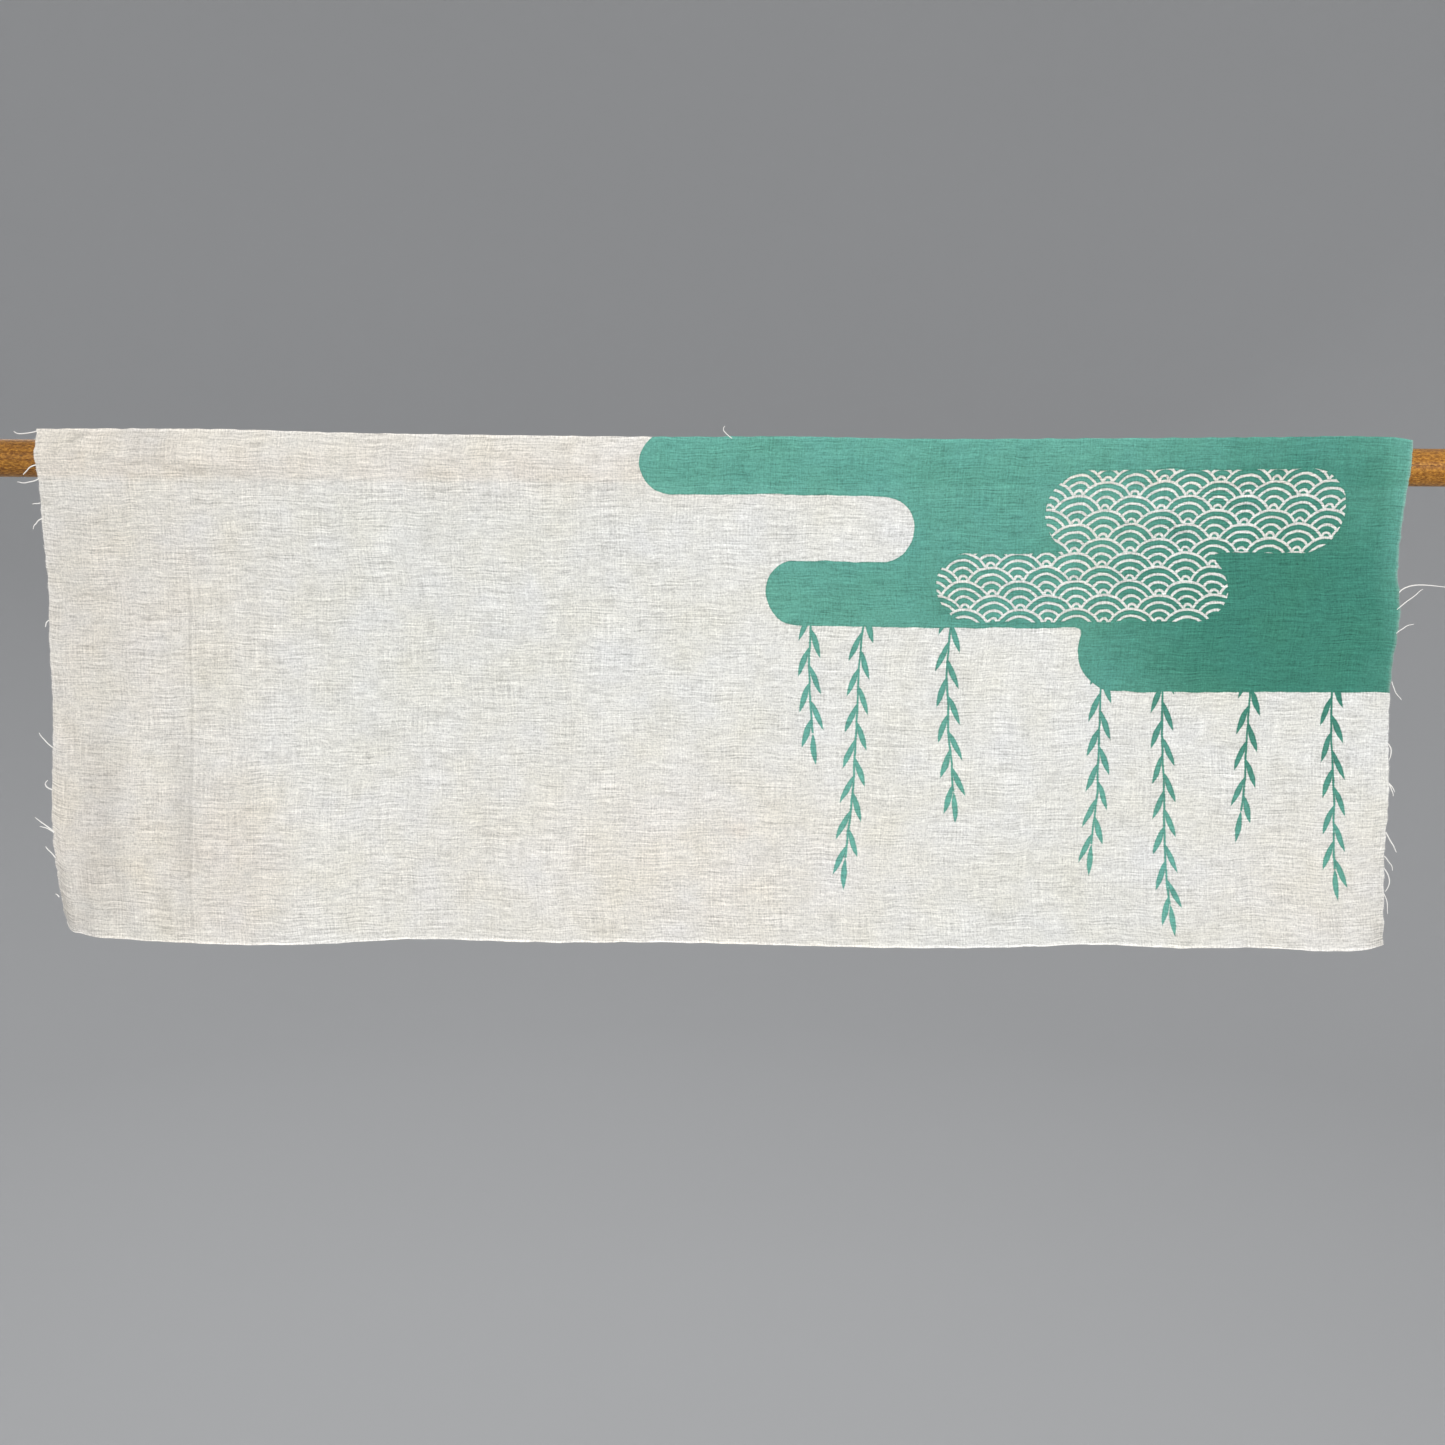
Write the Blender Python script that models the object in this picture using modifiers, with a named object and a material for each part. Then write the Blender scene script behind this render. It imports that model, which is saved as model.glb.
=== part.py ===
"""Thin cotton towel hung flat by its long edge from the front of a level wooden rod.

Metres, +Z up. The origin is half-way along the rod's axis. +X runs along the rod to the right,
and the cloth hangs on the rod's -Y side, which is its front.
"""
import math

import bpy
import numpy as np

# Rod
ROD_DIAMETER = 0.025
ROD_LENGTH = 1.10
ROD_SIDES = 48
ROD_EDGE_ROUND = 0.0008
ROD_EDGE_STEPS = 2
ROD_EDGE_ANGLE = math.radians(60)
ROD_SHARP_ANGLE = math.radians(35)
ROD_COLOUR = (0.366, 0.174, 0.042)
ROD_ROUGHNESS = 0.45

# Cloth: the towel was cut 0.90 m long and woven 0.34 m wide
CLOTH_THICKNESS = 0.001
CLOTH_TO_ROD_GAP = 0.0004
# How far up the rod's front the cloth follows it before it stands free
LEAN_ANGLE = math.radians(18)
CLOTH_SHARP_ANGLE = math.radians(50)
CLOTH_COLOUR = (0.73, 0.70, 0.65)
CLOTH_ROUGHNESS = 0.95

# Grid of the cloth: more columns near the ends, and a quarter of the rows over the rod
COLUMNS = 76
ROWS = 28
END_CROWDING = 0.45
ROWS_OVER_ROD = 0.25
ROD_SHARE_OF_DROP = 0.09

# The bottom edge's waves fade in from this share of the way down
WAVE_START = 0.2


def table(columns, *rows):
    """Return the rows as one array for each named column."""
    return dict(zip(columns.split(), np.array(rows, dtype=float).T))


# Top selvedge: height above the rod's axis
TOP_EDGE = table(
    "along height",
    (-0.4550, 0.0187),
    (-0.4000, 0.0192),
    (-0.3200, 0.0191),
    (-0.2700, 0.0178),
    (-0.1600, 0.0166),
    (-0.0300, 0.0163),
    (0.0500, 0.0170),
    (0.1100, 0.0161),
    (0.2600, 0.0173),
    (0.3700, 0.0189),
    (0.4200, 0.0196),
    (0.4450, 0.0187),
    (0.4540, 0.0172),
)

# Bottom selvedge: height, and how far its waves stand forward of the hanging plane
BOTTOM_EDGE = table(
    "along height forward",
    (-0.4525, -0.3166, 0.0000),
    (-0.4485, -0.3200, 0.0003),
    (-0.4380, -0.3217, 0.0008),
    (-0.4080, -0.3232, 0.0030),
    (-0.3300, -0.3249, 0.0090),
    (-0.2850, -0.3250, 0.0078),
    (-0.2100, -0.3228, -0.0010),
    (-0.1200, -0.3236, 0.0030),
    (-0.0600, -0.3233, 0.0012),
    (0.0450, -0.3241, 0.0040),
    (0.1240, -0.3248, 0.0065),
    (0.2060, -0.3245, 0.0020),
    (0.2460, -0.3238, -0.0020),
    (0.3100, -0.3243, 0.0030),
    (0.3700, -0.3243, 0.0022),
    (0.4150, -0.3248, 0.0075),
    (0.4414, -0.3242, 0.0040),
    (0.4526, -0.3236, 0.0010),
)

# Raw cut ends: place along the rod at each share of the way down
LEFT_END = table(
    "down along",
    (0.00, -0.4546),
    (0.05, -0.4553),
    (0.10, -0.4530),
    (0.19, -0.4517),
    (0.33, -0.4493),
    (0.40, -0.4501),
    (0.54, -0.4496),
    (0.68, -0.4517),
    (0.78, -0.4534),
    (0.94, -0.4531),
    (1.00, -0.4524),
)
RIGHT_END = table(
    "down along",
    (0.00, 0.4534),
    (0.06, 0.4506),
    (0.12, 0.4481),
    (0.26, 0.4461),
    (0.33, 0.4489),
    (0.45, 0.4454),
    (0.56, 0.4452),
    (0.70, 0.4476),
    (0.82, 0.4468),
    (0.92, 0.4489),
    (1.00, 0.4526),
)

# Bottom corners that curl back: side, how far back, and their reach in from the end and up
CURL_COLUMNS = ("side", "back", "across", "up")
CURL_ROWS = (
    (-1, 0.0145, 0.035, 0.090),
    (1, 0.0075, 0.025, 0.050),
)
CURLS = tuple(dict(zip(CURL_COLUMNS, row)) for row in CURL_ROWS)

# Soft folds, each along a straight line from a start to an end on the cloth's face.
# Forward is how far the fold stands out, and it is negative for a trough.
FOLD_COLUMNS = ("name", "start_x", "start_z", "end_x", "end_z", "half_width", "forward")
FOLD_ROWS = (
    ("left trough", -0.417, -0.120, -0.415, -0.335, 0.0150, -0.0012),
    ("trough foot right", -0.418, -0.262, -0.402, -0.340, 0.0100, -0.0007),
    ("trough foot left", -0.437, -0.262, -0.436, -0.345, 0.0100, -0.0007),
    ("left ridge", -0.390, -0.110, -0.388, -0.345, 0.0160, 0.0010),
    ("pressed crease", -0.353, -0.030, -0.361, -0.330, 0.0110, -0.0006),
    ("foot of crease", -0.375, -0.275, -0.386, -0.340, 0.0090, -0.0006),
    ("left corner pull", -0.425, -0.011, -0.280, -0.024, 0.0075, -0.0007),
    ("right corner pull", 0.447, 0.004, 0.439, -0.070, 0.0090, 0.0012),
)
FOLDS = tuple(dict(zip(FOLD_COLUMNS, row)) for row in FOLD_ROWS)

ROD_RADIUS = ROD_DIAMETER / 2
# Distance of the cloth's middle surface from the rod's axis, where it touches
HANG_RADIUS = ROD_RADIUS + CLOTH_TO_ROD_GAP + CLOTH_THICKNESS / 2


def curve(points, across, along, at):
    """Read a smooth curve through a table's points: cubic pieces with even slopes."""
    place, value = points[across], points[along]
    slope = np.gradient(value, place)
    index = np.clip(np.searchsorted(place, at) - 1, 0, len(place) - 2)
    width = place[index + 1] - place[index]
    part = np.clip((at - place[index]) / width, 0, 1)
    rise = value[index + 1] - value[index]
    ease = part * part * (3 - 2 * part)
    lead = part * (1 - part) ** 2 * width * slope[index]
    trail = part * part * (1 - part) * width * slope[index + 1]
    return value[index] + rise * ease + lead - trail


def bell(distance, half_width):
    """Return a soft hump: 1 at no distance, 0 at half_width and beyond."""
    return np.clip(1 - (distance / half_width) ** 2, 0, 1) ** 2


def hang_line(height):
    """Return the cloth's place in front of or behind the axis, as it follows the rod's front."""
    lift = np.clip(height, 0, HANG_RADIUS * math.sin(LEAN_ANGLE))
    on_rod = -np.sqrt(HANG_RADIUS ** 2 - lift ** 2)
    return on_rod + (np.maximum(height, lift) - lift) * math.tan(LEAN_ANGLE)


def fold_height(fold, x, z):
    """Return how far one fold stands forward; it fades towards both ends of its line."""
    run_x = fold["end_x"] - fold["start_x"]
    run_z = fold["end_z"] - fold["start_z"]
    length = math.hypot(run_x, run_z)
    from_x = x - fold["start_x"]
    from_z = z - fold["start_z"]
    along = (from_x * run_x + from_z * run_z) / length ** 2
    off = (from_x * run_z - from_z * run_x) / length
    fade = np.clip(1 - (2 * along - 1) ** 4, 0, 1)
    return fold["forward"] * bell(off, fold["half_width"]) * fade


def curl_depth(curl, x, z, left, right, bottom):
    """Return how far a bottom corner curls back."""
    end = right if curl["side"] > 0 else left
    inward = np.abs(x - end) / curl["across"]
    upward = (z - bottom) / curl["up"]
    return curl["back"] * np.clip(1 - inward, 0, 1) ** 2 * np.clip(1 - upward, 0, 1) ** 2


def cloth_points(across, down):
    """Return the cloth's middle surface at shares across and down its face."""
    left = curve(LEFT_END, "down", "along", down)
    right = curve(RIGHT_END, "down", "along", down)
    x = left + (right - left) * across
    top = curve(TOP_EDGE, "along", "height", x)
    bottom = curve(BOTTOM_EDGE, "along", "height", x)
    z = top + (bottom - top) * down
    wave = curve(BOTTOM_EDGE, "along", "forward", x)
    forward = wave * np.clip((down - WAVE_START) / (1 - WAVE_START), 0, 1) ** 2
    for fold in FOLDS:
        forward += fold_height(fold, x, z)
    for curl in CURLS:
        forward -= curl_depth(curl, x, z, left, right, bottom)
    return np.stack((x, hang_line(z) - forward, z), axis=-1)


def make_material(name, colour, roughness):
    """Return a plain material of one colour."""
    material = bpy.data.materials.new(name)
    material.use_nodes = True
    shader = material.node_tree.nodes["Principled BSDF"]
    shader.inputs["Base Color"].default_value = (*colour, 1.0)
    shader.inputs["Roughness"].default_value = roughness
    shader.inputs["Metallic"].default_value = 0.0
    material.diffuse_color = (*colour, 1.0)
    return material


def into_collection(obj, collection):
    """Move an object into the collection."""
    for old in list(obj.users_collection):
        old.objects.unlink(obj)
    collection.objects.link(obj)


def make_rod(collection):
    """Make the plain round rod, with its sharp end edges taken off."""
    bpy.ops.mesh.primitive_cylinder_add(
        vertices=ROD_SIDES,
        radius=ROD_RADIUS,
        depth=ROD_LENGTH,
        rotation=(0, math.pi / 2, 0),
    )
    rod = bpy.context.object
    rod.name = "rod"
    rod.data.name = "rod"
    edge = rod.modifiers.new("eased ends", "BEVEL")
    edge.width = ROD_EDGE_ROUND
    edge.segments = ROD_EDGE_STEPS
    edge.limit_method = "ANGLE"
    edge.angle_limit = ROD_EDGE_ANGLE
    rod.data.shade_smooth()
    rod.data.set_sharp_from_angle(angle=ROD_SHARP_ANGLE)
    rod.data.materials.append(make_material("rod_wood", ROD_COLOUR, ROD_ROUGHNESS))
    into_collection(rod, collection)


def make_towel(collection):
    """Bend a flat grid to the hanging cloth's middle surface and give it its thickness."""
    bpy.ops.mesh.primitive_grid_add(x_subdivisions=COLUMNS, y_subdivisions=ROWS, size=1)
    towel = bpy.context.object
    towel.name = "towel"
    towel.data.name = "towel"
    flat = np.empty(len(towel.data.vertices) * 3)
    towel.data.vertices.foreach_get("co", flat)
    flat = flat.reshape(-1, 3)
    column = flat[:, 0] + 0.5
    row = 0.5 - flat[:, 1]
    across = column - END_CROWDING * np.sin(2 * math.pi * column) / (2 * math.pi)
    down = np.interp(row, (0, ROWS_OVER_ROD, 1), (0, ROD_SHARE_OF_DROP, 1))
    towel.data.vertices.foreach_set("co", cloth_points(across, down).ravel())
    towel.data.update()
    wall = towel.modifiers.new("cloth thickness", "SOLIDIFY")
    wall.thickness = CLOTH_THICKNESS
    wall.offset = 0
    towel.data.shade_smooth()
    towel.data.set_sharp_from_angle(angle=CLOTH_SHARP_ANGLE)
    towel.data.materials.append(make_material("towel_cotton", CLOTH_COLOUR, CLOTH_ROUGHNESS))
    into_collection(towel, collection)


def main():
    """Clear the scene and build the rod and the towel."""
    for obj in list(bpy.data.objects):
        bpy.data.objects.remove(obj, do_unlink=True)
    collection = bpy.data.collections.new("tenugui_towel_on_rod")
    bpy.context.scene.collection.children.link(collection)
    make_rod(collection)
    make_towel(collection)


main()
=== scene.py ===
"""Looks of a thin cotton towel that hangs by its long edge from a plain wooden rod.

Metres throughout, in the solid model's frame: the origin is half-way along the rod's axis, +X runs
along the rod, the cloth hangs on the rod's -Y side and +Z is up. Places on the flat cloth, which
its weave and its dyed design follow, are metres across from the left end and down from the top.
"""

import logging
import math
from dataclasses import dataclass, field
from enum import Enum

import bpy
import numpy as np
from mathutils import Matrix, Vector


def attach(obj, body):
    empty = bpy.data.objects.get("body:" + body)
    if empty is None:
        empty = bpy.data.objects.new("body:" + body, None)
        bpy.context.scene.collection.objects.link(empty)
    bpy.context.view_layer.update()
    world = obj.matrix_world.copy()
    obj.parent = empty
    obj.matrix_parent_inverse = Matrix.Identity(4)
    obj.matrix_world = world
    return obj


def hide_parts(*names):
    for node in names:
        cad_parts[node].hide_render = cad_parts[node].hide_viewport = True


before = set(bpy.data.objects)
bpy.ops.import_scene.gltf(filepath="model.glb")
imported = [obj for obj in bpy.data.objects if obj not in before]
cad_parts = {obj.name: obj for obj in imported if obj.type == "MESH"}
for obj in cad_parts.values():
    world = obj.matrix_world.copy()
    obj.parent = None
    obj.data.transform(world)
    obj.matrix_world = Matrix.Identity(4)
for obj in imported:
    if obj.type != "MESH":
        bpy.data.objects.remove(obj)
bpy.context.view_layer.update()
LOG = logging.getLogger("towel")

# Flat size of the cut cloth
TOWEL_LENGTH = 0.90
TOWEL_WIDTH = 0.34

# How rough the fuzz on a finish is
SHEEN_ROUGHNESS = 0.5

Colour = tuple[float, float, float]


class Slot(Enum):
    """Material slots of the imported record."""

    COTTON = "cotton"
    ROD_WOOD = "rod_wood"


class Side(Enum):
    """Ends of the cloth, as the sign of X."""

    LEFT = -1
    RIGHT = 1


def srgb(red: int, green: int, blue: int) -> Colour:
    """Return a colour given in screen values from 0 to 255 as linear light.

    Args:
        red: Screen value of red.
        green: Screen value of green.
        blue: Screen value of blue.

    Returns:
        The colour in linear light.
    """
    share = np.array((red, green, blue)) / 255
    linear = np.where(share <= 0.04045, share / 12.92, ((share + 0.055) / 1.055) ** 2.4)
    return tuple(float(value) for value in linear)


# Shader helpers


@dataclass(frozen=True)
class Field:
    """A number that changes over a surface; arithmetic on it adds Math nodes to its graph."""

    graph: "Graph"
    socket: bpy.types.NodeSocket

    def __add__(self, other: "Field | float") -> "Field":
        """Return the sum."""
        return self.graph.math("ADD", self, other)

    def __radd__(self, other: float) -> "Field":
        """Return the sum."""
        return self.graph.math("ADD", other, self)

    def __sub__(self, other: "Field | float") -> "Field":
        """Return the difference."""
        return self.graph.math("SUBTRACT", self, other)

    def __rsub__(self, other: float) -> "Field":
        """Return the difference."""
        return self.graph.math("SUBTRACT", other, self)

    def __mul__(self, other: "Field | float") -> "Field":
        """Return the product."""
        return self.graph.math("MULTIPLY", self, other)

    def __rmul__(self, other: float) -> "Field":
        """Return the product."""
        return self.graph.math("MULTIPLY", other, self)

    def __truediv__(self, other: "Field | float") -> "Field":
        """Return the quotient."""
        return self.graph.math("DIVIDE", self, other)

    def __abs__(self) -> "Field":
        """Return the size without its sign."""
        return self.graph.math("ABSOLUTE", self)

    def at_least(self, other: "Field | float") -> "Field":
        """Return the larger of the two."""
        return self.graph.math("MAXIMUM", self, other)

    def at_most(self, other: "Field | float") -> "Field":
        """Return the smaller of the two."""
        return self.graph.math("MINIMUM", self, other)

    def clamped(self) -> "Field":
        """Return the value held between 0 and 1."""
        return self.at_least(0.0).at_most(1.0)

    def inside(self, softness: float) -> "Field":
        """Return 1 where this distance is below zero and 0 above, across a soft edge."""
        return (0.5 - self / softness).clamped()

    def mixed(self, low: "Field | float", high: "Field | float") -> "Field":
        """Return low where this is 0 and high where it is 1."""
        return (high - low) * self + low


Value = Field | float


@dataclass(frozen=True)
class Graph:
    """A shader node tree, with short ways to add nodes to it."""

    tree: bpy.types.NodeTree

    def feed(self, socket: bpy.types.NodeSocket, value: object) -> None:
        """Link a field or socket to an input, or set the input to a plain value.

        Args:
            socket: The input.
            value: A field, an output socket, a number or a tuple of numbers.
        """
        if isinstance(value, Field):
            self.tree.links.new(value.socket, socket)
        elif isinstance(value, bpy.types.NodeSocket):
            self.tree.links.new(value, socket)
        elif isinstance(value, tuple) and socket.type == "RGBA":
            socket.default_value = (*value, 1.0)
        else:
            socket.default_value = value

    def add(self, kind: str, inputs: dict[str, object] | None = None, **settings: object) -> bpy.types.Node:
        """Add a node.

        Args:
            kind: The node's class without the common first part of its name.
            inputs: What goes into its named inputs.
            **settings: Its other settings.

        Returns:
            The node.
        """
        node = self.tree.nodes.new("ShaderNode" + kind)
        for name, value in settings.items():
            setattr(node, name, value)
        for name, value in (inputs or {}).items():
            self.feed(node.inputs[name], value)
        return node

    def math(self, operation: str, *values: Value) -> Field:
        """Return the result of a Math node.

        Args:
            operation: The node's operation.
            *values: Its inputs in order.

        Returns:
            The result.
        """
        node = self.add("Math", operation=operation)
        for socket, value in zip(node.inputs, values):
            self.feed(socket, value)
        return Field(self, node.outputs[0])

    def noise(self, place: bpy.types.NodeSocket, detail: float = 2.0, roughness: float = 0.5) -> Field:
        """Return smooth noise around one half, one bump to each unit of the place.

        Args:
            place: Where the noise is read.
            detail: How many finer layers it has.
            roughness: How strong each finer layer is.

        Returns:
            The noise.
        """
        inputs = {"Vector": place, "Scale": 1.0, "Detail": detail, "Roughness": roughness}
        return Field(self, self.add("TexNoise", inputs).outputs[0])

    def joined(self, x: Value, y: Value, z: Value = 0.0) -> bpy.types.NodeSocket:
        """Return three numbers as one place."""
        return self.add("CombineXYZ", {"X": x, "Y": y, "Z": z}).outputs[0]

    def split(self, place: bpy.types.NodeSocket) -> tuple[Field, Field, Field]:
        """Return a place's three numbers."""
        outputs = self.add("SeparateXYZ", {"Vector": place}).outputs
        return Field(self, outputs[0]), Field(self, outputs[1]), Field(self, outputs[2])

    def blend(self, share: Value, low: object, high: object, how: str = "MIX") -> bpy.types.NodeSocket:
        """Blend two colours.

        Args:
            share: 0 for the first colour and 1 for the second.
            low: The first colour, as a tuple or a socket.
            high: The second colour, as a tuple or a socket.
            how: The way in which they blend.

        Returns:
            The blended colour.
        """
        node = self.add("Mix", data_type="RGBA", blend_type=how)
        colours = [socket for socket in node.inputs if socket.type == "RGBA"]
        self.feed(node.inputs[0], share)
        self.feed(colours[0], low)
        self.feed(colours[1], high)
        return next(socket for socket in node.outputs if socket.type == "RGBA")

    def toned(self, colour: object, tone: Field) -> bpy.types.NodeSocket:
        """Return a colour made lighter or darker by a factor."""
        grey = self.add("CombineColor", {"Red": tone, "Green": tone, "Blue": tone}).outputs[0]
        return self.blend(1.0, colour, grey, "MULTIPLY")

    def call(self, group: bpy.types.NodeTree, **inputs: object) -> dict[str, Field]:
        """Place a node group.

        Args:
            group: The group.
            **inputs: What goes into its inputs, by name.

        Returns:
            Its outputs by name.
        """
        node = self.tree.nodes.new("ShaderNodeGroup")
        node.node_tree = group
        for name, value in inputs.items():
            self.feed(node.inputs[name], value)
        return {socket.name: Field(self, socket) for socket in node.outputs}


def new_group(name: str, inputs: dict[str, str], outputs: tuple[str, ...]) -> tuple[Graph, dict[str, Field]]:
    """Start a shader node group.

    Args:
        name: Its name.
        inputs: The kind of each named input, Float or Vector.
        outputs: The names of its outputs, which are numbers.

    Returns:
        Its graph, and its inputs by name.
    """
    tree = bpy.data.node_groups.new(name, "ShaderNodeTree")
    for label, kind in inputs.items():
        tree.interface.new_socket(label, in_out="INPUT", socket_type="NodeSocket" + kind)
    for label in outputs:
        tree.interface.new_socket(label, in_out="OUTPUT", socket_type="NodeSocketFloat")
    graph = Graph(tree)
    source = tree.nodes.new("NodeGroupInput")
    tree.nodes.new("NodeGroupOutput")
    return graph, {label: Field(graph, source.outputs[label]) for label in inputs}


def end_group(graph: Graph, **outputs: Field) -> bpy.types.NodeTree:
    """Send results to a group's outputs.

    Args:
        graph: The group's graph.
        **outputs: The results by output name.

    Returns:
        The finished group.
    """
    sink = next(node for node in graph.tree.nodes if node.bl_idname == "NodeGroupOutput")
    for name, value in outputs.items():
        graph.feed(sink.inputs[name], value)
    return graph.tree


@dataclass(frozen=True)
class Groups:
    """Node groups that more than one material uses, each built once."""

    mottle: bpy.types.NodeTree
    yarn: bpy.types.NodeTree

    @classmethod
    def build(cls) -> "Groups":
        """Build the groups."""
        return cls(mottle=cls._mottle(), yarn=cls._yarn())

    @staticmethod
    def _mottle() -> bpy.types.NodeTree:
        """Build soft uneven clouds, one to each Size.

        Returns:
            The group, whose output is mostly from 1 - Strength to 1 + Strength.
        """
        cloud_detail, cloud_roughness, full_swing = 3.0, 0.55, 3.0
        graph, given = new_group(
            "mottle", {"Place": "Vector", "Size": "Float", "Strength": "Float"}, ("Tone",)
        )
        scaled = graph.add("VectorMath", operation="SCALE")
        graph.feed(scaled.inputs[0], given["Place"])
        graph.feed(scaled.inputs["Scale"], graph.math("DIVIDE", 1.0, given["Size"]))
        cloud = graph.noise(scaled.outputs[0], cloud_detail, cloud_roughness)
        return end_group(graph, Tone=(cloud - 0.5) * full_swing * given["Strength"] + 1.0)

    @staticmethod
    def _yarn() -> bpy.types.NodeTree:
        """Build a spun yarn's thick and thin places, long along it and narrow across it.

        Returns:
            The group, whose output is mostly from -1 to 1.
        """
        yarn_detail, yarn_roughness = 0.7, 0.6
        graph, given = new_group(
            "yarn", {"Along": "Float", "Across": "Float", "Slub": "Float", "Pitch": "Float"}, ("Thick",)
        )
        place = graph.joined(given["Along"] / given["Slub"], given["Across"] / given["Pitch"])
        return end_group(graph, Thick=(graph.noise(place, yarn_detail, yarn_roughness) - 0.5) * 2.0)


def principled(
    name: str, roughness: float, sheen: float, specular: float
) -> tuple[Graph, bpy.types.Material, bpy.types.Node]:
    """Start a material whose constant values stand on its shader's own sockets.

    Args:
        name: The material's name.
        roughness: The surface's mean roughness.
        sheen: How strong its fuzz is.
        specular: How strongly it mirrors.

    Returns:
        Its graph, the material and its shader node.
    """
    material = bpy.data.materials.new(name)
    material.use_nodes = True
    shader = material.node_tree.nodes["Principled BSDF"]
    shader.inputs["Roughness"].default_value = roughness
    shader.inputs["Specular IOR Level"].default_value = specular
    shader.inputs["Sheen Weight"].default_value = sheen
    shader.inputs["Sheen Roughness"].default_value = SHEEN_ROUGHNESS
    return Graph(material.node_tree), material, shader


# Mesh helpers


def table(columns: str, *rows: tuple[float, ...]) -> dict[str, np.ndarray]:
    """Return the rows of a small table as one array for each named column.

    Args:
        columns: The columns' names, with spaces between them.
        *rows: The rows.

    Returns:
        The columns by name.
    """
    return dict(zip(columns.split(), np.array(rows, dtype=float).T))


def curve(points: dict[str, np.ndarray], across: str, along: str, at: np.ndarray) -> np.ndarray:
    """Read a smooth line through a table's points.

    Between two points it is a cubic: the first value, plus the rise eased in and out, plus each
    point's own slope where the line leaves or meets it. A point's slope is that of its neighbours.

    Args:
        points: The table.
        across: The column that places the points.
        along: The column that is read.
        at: The places to read it at.

    Returns:
        The values there.
    """
    place, value = points[across], points[along]
    slope = np.gradient(value, place)
    index = np.clip(np.searchsorted(place, at) - 1, 0, len(place) - 2)
    width = place[index + 1] - place[index]
    part = np.clip((at - place[index]) / width, 0, 1)
    rise = value[index + 1] - value[index]
    ease = part * part * (3 - 2 * part)
    lead = part * (1 - part) ** 2 * width * slope[index]
    trail = part * part * (1 - part) * width * slope[index + 1]
    return value[index] + rise * ease + lead - trail


def bell(distance: np.ndarray, half_width: float | np.ndarray) -> np.ndarray:
    """Return a soft hump, (1 - (distance / half_width) squared) squared, and 0 beyond it."""
    return np.clip(1 - (distance / half_width) ** 2, 0, 1) ** 2


def smooth_step(low: float, high: float, value: np.ndarray) -> np.ndarray:
    """Return 0 below low and 1 above high, eased at both ends between them."""
    part = np.clip((value - low) / (high - low), 0, 1)
    return part * part * (3 - 2 * part)


def waves(
    seed: int, count: int, shortest: float, longest: float, lean: float, *places: np.ndarray
) -> np.ndarray:
    """Return an uneven surface around zero, about 1 high.

    It is the sum of count sine waves. Each has its own length between shortest and longest, its
    own start, and its own direction near the first place, with a random share of lean towards
    the second.

    Args:
        seed: Seed of the random lengths, directions and starts.
        count: How many waves are added.
        shortest: Shortest wave, in metres.
        longest: Longest wave, in metres.
        lean: How far the waves' directions turn towards the second place, from 0 to 1.
        *places: One or two arrays of places, in metres.

    Returns:
        The sum at each place.
    """
    random = np.random.default_rng(seed)
    length = np.exp(random.uniform(math.log(shortest), math.log(longest), count))
    turn = random.uniform(-lean, lean, count) * math.pi / 2
    start = random.uniform(0, 2 * math.pi, count)
    directions = (np.cos(turn), np.sin(turn))
    shape = (count,) + (1,) * np.ndim(places[0])
    phase = sum((way / length).reshape(shape) * place for way, place in zip(directions, places))
    share = (length / longest).reshape(shape)
    total = (share * np.sin(2 * math.pi * phase + start.reshape(shape))).sum(axis=0)
    return total / math.sqrt(float((share ** 2).sum()) / 2)


def grid_faces(rows: int, columns: int, closed: bool = False) -> np.ndarray:
    """Return the quads of a grid of points numbered row by row.

    Args:
        rows: Rows of points.
        columns: Points in a row.
        closed: Whether each row's last point joins its first.

    Returns:
        Four point numbers for each quad.
    """
    row, column = np.mgrid[0 : rows - 1, 0 : columns if closed else columns - 1]
    here = row * columns + column
    beside = row * columns + (column + 1) % columns
    return np.stack((here, here + columns, beside + columns, beside), axis=-1).reshape(-1, 4)


@dataclass(frozen=True)
class Surface:
    """Points and faces of a piece, with what its finish reads on each point."""

    points: np.ndarray
    faces: list[list[int]]
    cloth: np.ndarray | None = None
    marks: dict[str, np.ndarray] = field(default_factory=dict)

    def build(self, name: str, material: bpy.types.Material, sharp: float) -> bpy.types.Object:
        """Make the mesh object, smooth but for edges that turn more than sharp.

        Args:
            name: The object's name.
            material: Its finish.
            sharp: The angle above which an edge stays sharp.

        Returns:
            The object, in the scene.
        """
        mesh = bpy.data.meshes.new(name)
        mesh.from_pydata(self.points.reshape(-1, 3), [], self.faces)
        corners = np.empty(len(mesh.loops), dtype=np.int32)
        mesh.loops.foreach_get("vertex_index", corners)
        if self.cloth is not None:
            layer = mesh.uv_layers.new(name="cloth")
            layer.data.foreach_set("uv", self.cloth.reshape(-1, 2)[corners].astype(np.float32).ravel())
        for label, values in self.marks.items():
            mark = mesh.attributes.new(label, "FLOAT", "POINT")
            mark.data.foreach_set("value", values.astype(np.float32).ravel())
        mesh.materials.append(material)
        mesh.shade_smooth()
        mesh.set_sharp_from_angle(angle=sharp)
        obj = bpy.data.objects.new(name, mesh)
        bpy.context.scene.collection.objects.link(obj)
        triangles = sum(len(face) - 2 for face in self.faces)
        LOG.info("%s: %d triangles", name, triangles)
        return obj


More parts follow.
